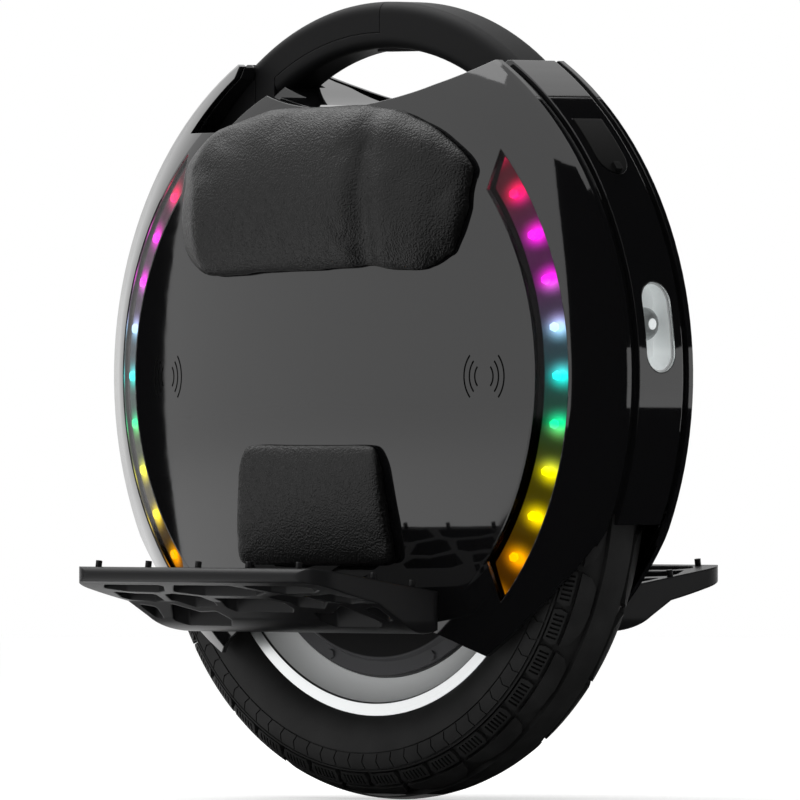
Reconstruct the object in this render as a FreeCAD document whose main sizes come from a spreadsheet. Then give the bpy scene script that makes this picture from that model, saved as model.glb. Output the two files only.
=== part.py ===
import FreeCAD, Part
import math
import os
import Sketcher
from FreeCAD import Rotation, Vector

os.makedirs("parts", exist_ok=True)
doc = FreeCAD.newDocument("electric_unicycle")
sheet = doc.addObject("Spreadsheet::Sheet", "Sizes")

# Driving dimensions in millimetres, degrees and counts.
# X points forward, Y to the left along the axle, Z up from the ground.
SIZES = {
    # wheel, widths measured from the middle plane
    "tyre_radius": 211,
    "tyre_half_width": 35,
    "tyre_wall": 7,
    "tread_notch_count": 24,
    "tread_notch_depth": 3,
    "tread_notch_width": 5,
    "tread_notch_turn": 25,
    "shoulder_drop": 8,
    "shoulder_inset": 7,
    "rim_lip_radius": 155,
    "rim_lip_height": 6,
    "rim_lip_width": 4,
    "rim_half_width": 24,
    "rim_well_radius": 147,
    "rim_inner_radius": 130,
    "rim_inner_half_width": 14,
    "magnet_ring_bore": 108,
    "air_gap": 0.6,
    "motor_cover_height": 7,
    "motor_boss_width": 30,
    "motor_screw_count": 8,
    "motor_screw_radius": 3.4,
    "motor_screw_height": 1.8,
    "bearing_radius": 20,
    "bearing_width": 12,
    "axle_radius": 8.5,
    "axle_half_length": 70,
    "valve_radius": 4,
    "valve_end": 33,
    "seat_gap": 0.3,
    "shaft_gap": 0.05,
    # wheel housing and centre band
    "shell_rise": 71.3,
    "band_clearance": 32,
    "band_half_width": 20.3,
    "band_foot_height": 184,
    "tyre_clearance": 10,
    "housing_half_width": 40,
    "housing_wall": 4,
    "housing_side_inset": 29,
    "housing_skirt_length": 70,
    "housing_skirt_height": 150,
    "top_rise": 208.7,
    "top_corner": 121,
    "saddle_drop": 31,
    "saddle_step": 2,
    # side covers
    "cover_rim_inset": 1,
    "cover_edge": 27,
    "cover_rim_edge": 33,
    "cover_rim_round": 2,
    "cover_wall": 3.5,
    "cover_crown": 84,
    "crown_flat": 2,
    "bevel_width": 52.5,
    "bevel_inset": 30.5,
    "dome_width": 63.4,
    "dome_inset": 54.5,
    "cover_tip_length": 124.5,
    "cover_tip_height": 97,
    "cover_belly_length": 164,
    "cover_belly_height": 125,
    "cover_foot_length": 222,
    "cover_bottom_height": 130,
    # side lights
    "lens_outer_margin": 2,
    "lens_inner_margin": 1,
    "lens_outer_angle": 45.4,
    "lens_inner_angle": 40.4,
    "lens_thickness": 3.3,
    "led_circle_share": 0.6,
    "led_pitch_angle": 9.2,
    "led_count": 9,
    "led_radius": 3.2,
    "led_height": 2.4,
    "led_board_thickness": 1.6,
    "led_board_drop": 3.7,
    "led_board_margin": 1.5,
    # carry handle and trolley handle
    "handle_rise": 41.7,
    "handle_radius": 207.6,
    "handle_depth": 31,
    "handle_half_width": 19,
    "handle_round": 8,
    "handle_end_angle": 54,
    "grip_depth": 20.6,
    "grip_width": 9.5,
    "grip_slot_height": 445,
    "pole_length_along": 18,
    "pole_thickness": 6,
    "pole_centre": 109,
    "pole_bottom": 225,
    "pole_wall": 1.5,
    "foot_bottom": 431,
    "foot_top": 444,
    "leg_top": 485,
    "slot_inner": 160,
    "slot_outer": 197,
    # pedals and their brackets, widths measured from the middle plane
    "pedal_half_length": 118,
    "pedal_inner": 77,
    "pedal_outer": 196,
    "pedal_outer_top": 191.5,
    "pedal_inner_top_height": 139.3,
    "pedal_outer_top_height": 155.8,
    "pedal_rim_height": 150.5,
    "pedal_lip_height": 145.5,
    "pedal_waist": 138,
    "pedal_waist_height": 132.5,
    "pedal_root": 118,
    "pedal_root_height": 121.5,
    "pedal_heel": 87,
    "pedal_heel_height": 112,
    "pedal_outer_corner": 22,
    "pedal_inner_corner": 10,
    "cell_round": 2.5,
    "end_round": 9,
    "stud_radius": 2.2,
    "stud_height": 4.5,
    "stud_line": 188.3,
    "stud_inset": 3,
    "hinge_width": 109,
    "hinge_height": 133.5,
    "hinge_pin_radius": 4,
    "hinge_pin_half_length": 38,
    "lug_radius": 9,
    "lug_half_length": 20,
    "lug_gap": 0.4,
    "bracket_half_length": 24,
    "bracket_thickness": 12,
    "nut_flats": 27,
    "nut_height": 10,
    # knee pads and shin pads
    "upper_pad_crown": 97,
    "upper_pad_top": 460,
    "upper_pad_bottom": 346,
    "upper_pad_half_length": 134,
    "upper_pad_crease": 54,
    "lower_pad_crown": 90.5,
    "lower_pad_top": 239,
    "lower_pad_bottom": 156,
    "lower_pad_top_half_length": 67,
    "lower_pad_bottom_half_length": 76,
    # lamps, charging port and buttons
    "lamp_width": 27,
    "lamp_length": 60,
    "lamp_centre_height": 314,
    "lamp_depth": 22,
    "lamp_wall": 1.5,
    "lamp_lens_thickness": 3,
    "bulb_radius": 11,
    "bulb_height": 316,
    "port_angle": 38.7,
    "port_half_width": 13,
    "port_half_length": 23,
    "port_depth": 4.3,
    "flap_rise": 0.4,
    "tab_length": 6,
    "tab_height": 2,
    "socket_radius": 10,
    "socket_bore": 7,
    "socket_depth": 14,
    "power_button_radius": 9,
    "power_button_rise": 1.2,
    "button_travel": 2,
    "button_depth": 10,
    "lift_button_half_length": 15,
    "lift_button_half_width": 6,
    # inside the covers
    "battery_half_length": 88,
    "battery_thickness": 18,
    "battery_bottom": 262,
    "battery_top": 398,
    "board_half_length": 60,
    "board_bottom": 404,
    "board_top": 440,
    "board_thickness": 3,
    "fin_height": 8,
    "fin_count": 8,
    "speaker_radius": 20,
    "speaker_place": 150,
    "speaker_height": 281,
    "speaker_depth": 11,
    "stator_radius": 94,
    "stator_half_width": 12,
    "stator_web_half_width": 5,
    "coil_count": 18,
    "coil_half_length": 11,
}
for row, (alias, value) in enumerate(SIZES.items(), start=1):
    sheet.set(f"A{row}", alias.replace("_", " "))
    sheet.set(f"B{row}", str(value))
    sheet.setAlias(f"B{row}", alias)
doc.recompute()


class Dim:
    """A size that remembers the sheet formula it is worked out from."""

    def __init__(self, value, formula):
        self.value = value
        self.formula = formula

    def __float__(self):
        return self.value

    def __add__(self, other):
        other = as_dim(other)
        return Dim(self.value + other.value, f"({self.formula} + {other.formula})")

    def __sub__(self, other):
        other = as_dim(other)
        return Dim(self.value - other.value, f"({self.formula} - {other.formula})")

    def __mul__(self, other):
        other = as_dim(other)
        return Dim(self.value * other.value, f"({self.formula} * {other.formula})")

    def __truediv__(self, other):
        other = as_dim(other)
        return Dim(self.value / other.value, f"({self.formula} / {other.formula})")

    def __neg__(self):
        return self * -1

    def __rsub__(self, other):
        return as_dim(other) - self

    __radd__ = __add__
    __rmul__ = __mul__


def as_dim(thing):
    if isinstance(thing, Dim):
        return thing
    return Dim(float(thing), f"({float(thing)})")


def cosine(angle):
    return Dim(math.cos(math.radians(angle.value)), f"cos({angle.formula} * 1 deg)")


def sine(angle):
    return Dim(math.sin(math.radians(angle.value)), f"sin({angle.formula} * 1 deg)")


class Sizes:
    """Gives each named cell of the sheet as a Dim."""

    def __getattr__(self, alias):
        return Dim(float(sheet.get(alias)), f"Sizes.{alias}")


s = Sizes()
LEFT = 1
RIGHT = -1
SIDES = {"left": LEFT, "right": RIGHT}
ENDS = {"front": 1, "rear": -1}
pieces = []


def bind(thing, name, dim):
    thing.setExpression(name, as_dim(dim).formula)


def place(thing, x=0, y=0, z=0, turn=None):
    """Puts an object at a point worked out from the sheet."""
    if turn:
        thing.Placement = FreeCAD.Placement(Vector(), turn)
    for name, dim in (("x", x), ("y", y), ("z", z)):
        bind(thing, f"Placement.Base.{name}", dim)
    return thing


def piece(thing, label):
    thing.Label = label
    pieces.append(thing)
    return thing


def outline(body, plane, steps):
    """Draws a closed sketch; a step is a corner, or an arc's middle point and its end corner."""
    sketch = body.newObject("Sketcher::SketchObject", "outline")
    role = next(face for face in body.Origin.OriginFeatures if face.Role == plane)
    sketch.AttachmentSupport = (role, "")
    sketch.MapMode = "FlatFace"
    start = steps[-1][-2:]
    ends = []
    for step in steps:
        first = Vector(float(start[0]), float(start[1]), 0)
        last = Vector(float(step[-2]), float(step[-1]), 0)
        if len(step) == 4:
            middle = Vector(float(step[0]), float(step[1]), 0)
            edge = sketch.addGeometry(Part.Arc(first, middle, last), False)
            spot = sketch.addGeometry(Part.Point(middle), True)
            fix_point(sketch, spot, 1, step[:2])
            sketch.addConstraint(Sketcher.Constraint("PointOnObject", spot, 1, edge))
        else:
            edge = sketch.addGeometry(Part.LineSegment(first, last), False)
        near_end = 1 if (sketch.getPoint(edge, 1) - first).Length < 1e-6 else 2
        ends.append((edge, near_end, 3 - near_end))
        start = step[-2:]
    for index, step in enumerate(steps):
        edge, _, far = ends[index]
        following, near, _ = ends[(index + 1) % len(steps)]
        sketch.addConstraint(Sketcher.Constraint("Coincident", edge, far, following, near))
        fix_point(sketch, edge, far, step[-2:])
    return sketch


def fix_point(sketch, edge, end, spot):
    for kind, dim in zip(("DistanceX", "DistanceY"), spot):
        dim = as_dim(dim)
        number = sketch.addConstraint(Sketcher.Constraint(kind, -1, 1, edge, end, dim.value))
        bind(sketch, f"Constraints[{number}]", dim)


def revolved(name, steps, height=0, plane="YZ_Plane", angle=None):
    """Turns an outline of (along the axis, radius) points about its horizontal axis."""
    body = doc.addObject("PartDesign::Body", name)
    sketch = outline(body, plane, steps)
    turn = body.newObject("PartDesign::Revolution", "turn")
    turn.Profile = sketch
    turn.ReferenceAxis = (sketch, ["H_Axis"])
    turn.Angle = 360
    if angle is not None:
        turn.Midplane = True
        bind(turn, "Angle", angle)
    return place(body, z=height)


def prism(name, plane, steps, length, x=0, y=0, z=0, turn=None):
    """Pads an outline by half its length to each side of its plane."""
    body = doc.addObject("PartDesign::Body", name)
    sketch = outline(body, plane, steps)
    pad = body.newObject("PartDesign::Pad", "pad")
    pad.Profile = sketch
    pad.SideType = "Symmetric"
    bind(pad, "Length", length)
    return place(body, x, y, z, turn)


def cylinder(name, radius, length, x=0, y=0, z=0, turn=None):
    thing = doc.addObject("Part::Cylinder", name)
    bind(thing, "Radius", radius)
    bind(thing, "Height", length)
    return place(thing, x, y, z, turn)


def block(name, low, high):
    thing = doc.addObject("Part::Box", name)
    for name, first, last in zip(("Length", "Width", "Height"), low, high):
        bind(thing, name, as_dim(last) - first)
    return place(thing, *low)


def cut(name, base, *tools):
    for index, tool in enumerate(tools, start=1):
        result = doc.addObject("Part::Cut", name if index == len(tools) else "stage")
        result.Base = base
        result.Tool = tool
        base = result
    return base


def common(name, base, tool):
    result = doc.addObject("Part::Common", name)
    result.Base = base
    result.Tool = tool
    return result


def fuse(name, base, tool):
    result = doc.addObject("Part::Fuse", name)
    result.Base = base
    result.Tool = tool
    return result


def feature(name, shape):
    thing = doc.addObject("Part::Feature", name)
    thing.Shape = shape
    return thing


def hex_pin(radius, length, spot, direction):
    """A six-sided pin that stands on a spot, along a unit vector."""
    turn = Rotation(Vector(0, 0, 1), direction)
    angles = [math.radians(60 * n) for n in range(6)]
    corners = [Vector(math.cos(angle), math.sin(angle), 0) * float(radius) for angle in angles]
    points = [spot + turn.multVec(corner) for corner in corners]
    return Part.Face(Part.makePolygon(points + points[:1])).extrude(direction * float(length))


def mirrored(steps):
    """The same points on the other side of the vertical axis, walked the other way round."""
    flipped = [tuple(-as_dim(v) if n % 2 == 0 else v for n, v in enumerate(step)) for step in steps]
    corners = [step[-2:] for step in flipped]
    back = []
    for index in range(len(flipped) - 1, -1, -1):
        arrive = flipped[(index + 1) % len(flipped)]
        back.append(arrive[:2] + corners[index] if len(arrive) == 4 else corners[index])
    return back


def sided(steps, side):
    """An outline given for the left side, on the side asked for."""
    return steps if side == LEFT else mirrored(steps)


ALONG_Y = Rotation(Vector(1, 0, 0), -90)
ALONG_X = Rotation(Vector(0, 1, 0), 90)


# Main places: the shell follows the wheel, and covers, lights, lamps and handle follow the shell
shell_height = s.tyre_radius + s.shell_rise
band_radius = s.tyre_radius + s.band_clearance
housing_side_radius = band_radius - s.housing_side_inset
top_height = shell_height + s.top_rise
saddle_height = top_height - s.saddle_drop
cover_rim_radius = band_radius - s.cover_rim_inset
bevel_radius = cover_rim_radius - s.bevel_inset
dome_radius = cover_rim_radius - s.dome_inset
lens_outer_radius = bevel_radius - s.lens_outer_margin
lens_inner_radius = dome_radius + s.lens_inner_margin
led_circle_radius = lens_inner_radius + (lens_outer_radius - lens_inner_radius) * s.led_circle_share
handle_height = shell_height + s.handle_rise
lamp_pocket_radius = band_radius - s.lamp_depth
port_pocket_radius = band_radius - s.port_depth
flap_radius = band_radius + s.flap_rise
FAR = band_radius + 30


# Tyre: a hollow carcass with a rounded crown and two rows of shoulder notches
bead = s.rim_lip_radius - s.rim_lip_height + s.seat_gap
over_lip = s.rim_lip_radius + s.seat_gap
bead_out = s.rim_half_width - s.rim_lip_width - s.seat_gap
bead_in = bead_out - s.tyre_wall
belly = (s.tyre_radius + s.rim_lip_radius) / 2 - 3
shoulder = s.tyre_radius - s.shoulder_drop
shoulder_out = s.tyre_half_width - s.shoulder_inset
half_tyre = [
    (bead_in, bead),
    (bead_out, bead),
    (bead_out, over_lip),
    (s.rim_half_width, over_lip),
    (s.tyre_half_width, belly, shoulder_out, shoulder),
]
inner_shoulder = (shoulder_out - 5, shoulder - s.tyre_wall)
tyre_steps = half_tyre + [(0, s.tyre_radius, -shoulder_out, shoulder)]
tyre_steps += [(-s.tyre_half_width, belly, -s.rim_half_width, over_lip)]
tyre_steps += [(-bead_out, over_lip), (-bead_out, bead), (-bead_in, bead)]
tyre_steps += [(s.tyre_wall - s.tyre_half_width, belly, -inner_shoulder[0], inner_shoulder[1])]
tyre_steps += [(0, s.tyre_radius - s.tyre_wall - 1, *inner_shoulder)]
tyre_steps[0] = (s.tyre_half_width - s.tyre_wall, belly, bead_in, bead)
carcass = revolved("carcass", tyre_steps, s.tyre_radius)
doc.recompute()

notch_angle = 360 / float(s.tread_notch_count)
notch_width = float(s.tread_notch_width)
notch_start = float(s.tyre_half_width) * 0.55
notch_low = float(shoulder - s.tread_notch_depth)
notch_height = float(s.tyre_radius) - notch_low + 5
notches = []
for side in SIDES.values():
    for index in range(int(float(s.tread_notch_count))):
        corner = Vector(-notch_width / 2, 0, notch_low)
        notch = Part.makeBox(notch_width, float(s.tyre_half_width), notch_height, corner)
        notch.rotate(Vector(), Vector(0, 0, 1), float(s.tread_notch_turn))
        notch.translate(Vector(0, notch_start, 0))
        if side == RIGHT:
            notch = notch.mirror(Vector(), Vector(0, 1, 0))
        stagger = notch_angle / 2 if side == RIGHT else 0
        notch.rotate(Vector(), Vector(0, 1, 0), index * notch_angle + stagger)
        notch.translate(Vector(0, 0, float(s.tyre_radius)))
        notches.append(notch)
tread_tool = feature("tread_tool", Part.makeCompound(notches))
piece(cut("tyre", carcass, tread_tool), "tyre")

# Rim: an alloy ring with a bead seat between two lips and a concave well on each side
lip = s.rim_half_width - s.rim_lip_width
half_rim = [
    (s.rim_inner_half_width, s.rim_inner_radius),
    (s.rim_half_width - 7, s.rim_well_radius - 7, s.rim_half_width, s.rim_well_radius),
    (s.rim_half_width, s.rim_lip_radius),
    (lip, s.rim_lip_radius),
    (lip, s.rim_lip_radius - s.rim_lip_height),
]
rim_steps = half_rim + [(-lip, s.rim_lip_radius - s.rim_lip_height), (-lip, s.rim_lip_radius)]
rim_steps += [(-s.rim_half_width, s.rim_lip_radius), (-s.rim_half_width, s.rim_well_radius)]
rim_steps += [(7 - s.rim_half_width, s.rim_well_radius - 7, -s.rim_inner_half_width, s.rim_inner_radius)]
rim_blank = revolved("rim_blank", rim_steps, s.tyre_radius)
valve_circle = s.rim_well_radius - 6
valve_foot = s.rim_inner_half_width - 6
valve_hole = cylinder("valve_hole", s.valve_radius + s.shaft_gap, s.rim_half_width,
                      0, valve_foot, s.tyre_radius - valve_circle, ALONG_Y)
piece(cut("rim", rim_blank, valve_hole), "rim")

# Valve stem: a brass tube with a cap, standing in the rim's well on the left
cap = s.valve_radius + 1
valve_steps = [
    (valve_foot + s.seat_gap, 0),
    (s.valve_end, 0),
    (s.valve_end, cap - 1),
    (s.valve_end - 1, cap),
    (s.rim_half_width + 1, cap),
    (s.rim_half_width + 1, s.valve_radius),
    (valve_foot + s.seat_gap, s.valve_radius),
]
valve = revolved("valve_stem", valve_steps, s.tyre_radius - valve_circle)
piece(valve, "valve_stem")

# Magnet ring: the steel ring with its magnets that the rim turns on
ring_out = s.rim_inner_radius - s.seat_gap
ring_steps = [
    (-s.rim_inner_half_width, s.magnet_ring_bore),
    (s.rim_inner_half_width, s.magnet_ring_bore),
    (s.rim_inner_half_width, ring_out),
    (-s.rim_inner_half_width, ring_out),
]
piece(revolved("magnet_ring", ring_steps, s.tyre_radius), "magnet_ring")

# Motor covers: dished discs bolted to the magnet ring, with a boss that holds the bearing
inner_face = s.rim_inner_half_width
outer_face = inner_face + 3
seat = s.bearing_radius + s.shaft_gap
screw_circle = s.magnet_ring_bore + 16
cover_steps = [
    (inner_face, screw_circle + 4),
    (inner_face, s.bearing_radius * 3),
    (inner_face + 2, s.bearing_radius * 2),
    (inner_face + 2, seat),
    (s.motor_boss_width, seat),
    (s.motor_boss_width, s.bearing_radius * 1.6),
    (inner_face + s.motor_cover_height, s.bearing_radius * 2.6),
    (outer_face + 3, screw_circle - 7),
    (outer_face, screw_circle - 5),
    (outer_face, screw_circle + 4),
]
bearing_in = inner_face + 3
bore = s.axle_radius + s.shaft_gap
mid = (s.bearing_radius + bore) / 2
bearing_out = bearing_in + s.bearing_width
bearing_steps = [
    (bearing_in, bore),
    (bearing_out, bore),
    (bearing_out, mid - 2.5),
    (bearing_out - 1, mid - 2.5),
    (bearing_out - 1, mid + 2.5),
    (bearing_out, mid + 2.5),
    (bearing_out, s.bearing_radius),
    (bearing_in, s.bearing_radius),
]
for name, side in SIDES.items():
    label = f"{name}_motor_cover"
    piece(revolved(label, sided(cover_steps, side), s.tyre_radius), label)
    label = f"{name}_bearing"
    piece(revolved(label, sided(bearing_steps, side), s.tyre_radius), label)

screws = []
for side in SIDES.values():
    for index in range(int(float(s.motor_screw_count))):
        foot = Vector(0, float(outer_face), float(screw_circle))
        head = hex_pin(s.motor_screw_radius, s.motor_screw_height, foot, Vector(0, 1, 0))
        head.rotate(Vector(), Vector(0, 1, 0), (index + 0.5) * 360 / float(s.motor_screw_count))
        if side == RIGHT:
            head = head.mirror(Vector(), Vector(0, 1, 0))
        screws.append(head)
screw_group = feature("motor_cover_screws", Part.makeCompound(screws))
piece(place(screw_group, z=s.tyre_radius), "motor_cover_screws")

# Axle, nuts and stator: what stands still inside the wheel


def along_axle(name, radius, half_length):
    """A round bar or hole on the wheel's axis, as long to the left as to the right."""
    return cylinder(name, radius, half_length * 2, 0, -half_length, s.tyre_radius, ALONG_Y)


piece(along_axle("axle", s.axle_radius, s.axle_half_length), "axle")
wall_out = s.housing_half_width + s.housing_wall
bracket_out = wall_out + s.bracket_thickness
corner = s.nut_flats / math.sqrt(3)
turns = [math.radians(60 * n) for n in range(6)]
hexagon = [(corner * math.cos(angle), corner * math.sin(angle)) for angle in turns]
nuts = []
for side in SIDES.values():
    nut_middle = (bracket_out + s.nut_height / 2) * side
    nuts.append(prism("nut", "XZ_Plane", hexagon, s.nut_height, 0, nut_middle, s.tyre_radius))
both_nuts = fuse("both_nuts", *nuts)
piece(cut("axle_nuts", both_nuts, along_axle("nut_bore", bore, s.axle_half_length)), "axle_nuts")

coil_out = s.magnet_ring_bore - s.air_gap
stator_steps = [
    (-s.stator_web_half_width, bore),
    (s.stator_web_half_width, bore),
    (s.stator_web_half_width, s.stator_radius - 20),
    (s.stator_half_width, s.stator_radius - 20),
    (s.stator_half_width, s.stator_radius),
    (-s.stator_half_width, s.stator_radius),
    (-s.stator_half_width, s.stator_radius - 20),
    (-s.stator_web_half_width, s.stator_radius - 20),
]
piece(revolved("stator_core", stator_steps, s.tyre_radius), "stator_core")
coils = []
coil_angle = 360 / float(s.coil_count)
coil_base = float(s.stator_radius + s.seat_gap)
coil_width = 2 * coil_base * math.tan(math.radians(coil_angle / 2)) * 0.72
coil_length = float(s.coil_half_length)
coil_height = math.sqrt(float(coil_out) ** 2 - (coil_width / 2) ** 2) - coil_base
for index in range(int(float(s.coil_count))):
    corner = Vector(-coil_width / 2, -coil_length, coil_base)
    coil = Part.makeBox(coil_width, 2 * coil_length, coil_height, corner)
    coil.rotate(Vector(), Vector(0, 1, 0), index * coil_angle)
    coils.append(coil)
coil_group = feature("stator_windings", Part.makeCompound(coils))
piece(place(coil_group, z=s.tyre_radius), "stator_windings")

# Inner frame: the moulding that houses the wheel and shows as the centre band
shoulder_radius = cover_rim_radius - s.cover_wall - s.seat_gap
half_frame = [
    (s.band_half_width, band_radius),
    (s.band_half_width, shoulder_radius),
    (s.cover_edge + 2, shoulder_radius),
    (wall_out, housing_side_radius),
    (wall_out, 0),
]
frame_disc = revolved("frame_disc", half_frame + [(-y, r) for y, r in reversed(half_frame)], shell_height)


def side_view(lower, saddle):
    """Side outline of the body: a lower edge, two flat tops and the hollow under the handle."""
    return lower + [
        (FAR, top_height),
        (s.top_corner, top_height),
        (0, saddle, -s.top_corner, top_height),
        (-FAR, top_height),
    ]


frame_lower = [
    (-FAR, s.band_foot_height),
    (-s.housing_skirt_length, s.band_foot_height),
    (-s.housing_skirt_length, s.housing_skirt_height),
    (s.housing_skirt_length, s.housing_skirt_height),
    (s.housing_skirt_length, s.band_foot_height),
    (FAR, s.band_foot_height),
]
frame_side = prism("frame_side", "XZ_Plane", side_view(frame_lower, saddle_height - s.saddle_step), FAR)
frame_blank = common("frame_blank", frame_disc, frame_side)
wheel_room = along_axle("wheel_room", s.tyre_radius + s.tyre_clearance, s.housing_half_width)
axle_room = along_axle("axle_room", s.axle_radius + 3, wall_out + 1)

# Handle room: the curved pocket for the handle's legs, open to the right side at the rear
handle_inner = s.handle_radius - s.handle_depth
room_in = handle_inner - s.seat_gap
room_out = s.handle_radius + s.seat_gap
room_half = s.handle_half_width + s.seat_gap
handle_room = revolved("handle_room", [(-room_half, room_in), (room_half, room_in), (room_half, room_out),
                                       (-room_half, room_out)],
                       handle_height, angle=(s.handle_end_angle + 0.1) * 2)
slot_steps = [
    (-FAR, s.slot_inner),
    (-room_half, s.slot_inner),
    (-room_half, s.slot_outer),
    (-FAR, s.slot_outer),
]
slot_ring = revolved("slot_ring", slot_steps, handle_height)
slot_side = block("slot_side", (-FAR, -FAR, s.grip_slot_height), (0, 0, top_height + 50))
grip_slot = common("grip_slot", slot_ring, slot_side)

# Trolley pole room: a straight channel beside the tyre on the right
pole_half = s.pole_length_along / 2
pole_in = s.housing_half_width + 0.5
pole_out = pole_in + s.pole_thickness
pole_room = block("pole_room", (-s.pole_centre - pole_half - s.seat_gap, -pole_out - 5, s.pole_bottom - 25),
                  (-s.pole_centre + pole_half + s.seat_gap, -pole_in + s.seat_gap, top_height + 10))
leg_in = s.handle_half_width - s.grip_width
foot_room = block("foot_room", (-s.pole_centre - pole_half - s.lug_gap, -pole_out - s.lug_gap,
                                s.foot_bottom - s.lug_gap),
                  (-s.pole_centre + pole_half + s.lug_gap, s.lug_gap - leg_in, top_height + 50))


def obround(width, length):
    """A slot outline about the origin, its length upright."""
    half = width / 2
    straight = (length - width) / 2
    return [
        (half, straight),
        (0, length / 2, -half, straight),
        (-half, -straight),
        (0, -length / 2, half, -straight),
    ]


def lamp_slot(name, width, length, near, far, end):
    """An upright slot through the band's end, from one distance along X to another."""
    return prism(name, "YZ_Plane", obround(width, length), far - near, (near + far) / 2 * end, 0,
                 s.lamp_centre_height)


lamp_rooms = [lamp_slot("lamp_room", s.lamp_width, s.lamp_length, lamp_pocket_radius, FAR, end)
              for end in ENDS.values()]

# Charging port: a pocket in the front band under a flap, with a round hole for the socket
PORT_TURN = Rotation(Vector(0, 1, 0), 90 - float(s.port_angle))
BUTTON_TURN = Rotation(Vector(0, 1, 0), float(s.port_angle) - 90)


def on_band(thing):
    """Stands an object, drawn about the shell's centre, at the charging port's place."""
    return place(thing, z=shell_height, turn=PORT_TURN)


def radial(name, steps, low, high):
    """A prism along the port's own radius, between two distances from the shell's centre."""
    body = doc.addObject("PartDesign::Body", name)
    sketch = outline(body, "XY_Plane", steps)
    bind(sketch, "AttachmentOffset.Base.z", low)
    pad = body.newObject("PartDesign::Pad", "pad")
    pad.Profile = sketch
    bind(pad, "Length", as_dim(high) - low)
    return on_band(body)


def flap_outline(gap):
    half = s.port_half_width + gap
    end = s.port_half_length + gap
    return [
        (-end, -half),
        (s.port_half_length - s.port_half_width, -half),
        (end, 0, s.port_half_length - s.port_half_width, half),
        (-end, half),
    ]


flap_room = radial("flap_room", flap_outline(s.lug_gap), port_pocket_radius, FAR)
socket_top = port_pocket_radius
socket_bottom = socket_top - s.socket_depth


def round_outline(radius):
    return [(0, radius, -radius, 0), (0, -radius, radius, 0)]


socket_room = radial("socket_room", round_outline(s.socket_radius + s.shaft_gap), socket_bottom, FAR)
button_top = band_radius + s.power_button_rise
button_foot = button_top - s.button_depth
button_floor = button_foot - s.button_travel - s.seat_gap


def rear_button(name, radius, low, length):
    """A round bar along the radius opposite the charging port."""
    return cylinder(name, radius, length, -low * cosine(s.port_angle), 0,
                    shell_height + low * sine(s.port_angle), BUTTON_TURN)


button_room = rear_button("button_room", s.power_button_radius + s.shaft_gap, button_floor, FAR)
inner_frame = cut("inner_frame", frame_blank, wheel_room, axle_room, handle_room, grip_slot, pole_room,
                  foot_room, *lamp_rooms, flap_room, socket_room, button_room)
piece(inner_frame, "inner_frame")

# Side covers: thin domed shells with two light windows, a bevel and a rim
dome_drop = s.cover_crown - s.dome_width
wall = s.cover_wall
cover_section = [
    (s.cover_crown - wall - dome_drop / 4, dome_radius / 2, s.cover_crown - wall, s.crown_flat),
    (s.cover_crown - wall, 0),
    (s.cover_crown, 0),
    (s.cover_crown, s.crown_flat),
    (s.cover_crown - dome_drop / 4, dome_radius / 2, s.dome_width, dome_radius),
    (s.bevel_width, bevel_radius),
    (s.cover_rim_edge, cover_rim_radius - s.cover_rim_round),
    (s.cover_rim_edge - s.cover_rim_round, cover_rim_radius),
    (s.cover_edge, cover_rim_radius),
    (s.cover_edge, cover_rim_radius - wall),
    (s.cover_rim_edge - wall, cover_rim_radius - wall),
    (s.bevel_width - wall, bevel_radius),
    (s.dome_width - wall, dome_radius),
]
cover_lower = [
    (-FAR, s.band_foot_height),
    (-s.cover_foot_length, s.band_foot_height),
    (-s.cover_belly_length, s.cover_belly_height, -s.cover_tip_length, s.cover_tip_height),
    (0, s.cover_bottom_height, s.cover_tip_length, s.cover_tip_height),
    (s.cover_belly_length, s.cover_belly_height, s.cover_foot_length, s.band_foot_height),
    (FAR, s.band_foot_height),
]


def light_window(name, end, gap):
    """The crescent of a side light, seen from the side, through the whole width."""
    outer = lens_outer_radius - gap
    inner = lens_inner_radius + gap
    top = (outer * cosine(s.lens_outer_angle) * end, outer * sine(s.lens_outer_angle))
    low = (inner * cosine(s.lens_inner_angle) * end, inner * sine(s.lens_inner_angle))
    steps = [
        (low[0], -low[1]),
        (top[0], -top[1]),
        (outer * end, 0, *top),
        low,
    ]
    steps[0] = (inner * end, 0, low[0], -low[1])
    return prism(name, "XZ_Plane", steps, FAR, 0, 0, shell_height)


lug_top = s.hinge_height + s.lug_radius
arm_window = block("arm_window", (-s.bracket_half_length, -FAR, 0),
                   (s.bracket_half_length, FAR, lug_top + 3))
windows = [light_window("window", end, 0) for end in ENDS.values()]
for name, side in SIDES.items():
    dome = revolved("dome", sided(cover_section, side), shell_height)
    outline_side = prism("cover_side", "XZ_Plane", side_view(cover_lower, saddle_height), FAR)
    shell = common("cover_shell", dome, outline_side)
    tools = windows + [arm_window] + ([grip_slot, foot_room] if side == RIGHT else [])
    piece(cut(f"{name}_cover", shell, *tools), f"{name}_cover")

# Side lights: a smoky lens in each window, with a board of lamps behind it
face = [(s.dome_width, dome_radius), (s.bevel_width, bevel_radius)]


def light_layer(name, side, end, near, far, gap):
    """A layer of a side light between two depths below the cover's face."""
    steps = [(y - near, r) for y, r in face] + [(y - far, r) for y, r in reversed(face)]
    ring = revolved("light_ring", sided(steps, side), shell_height)
    return common(name, ring, light_window("light_edge", end, gap))


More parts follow.
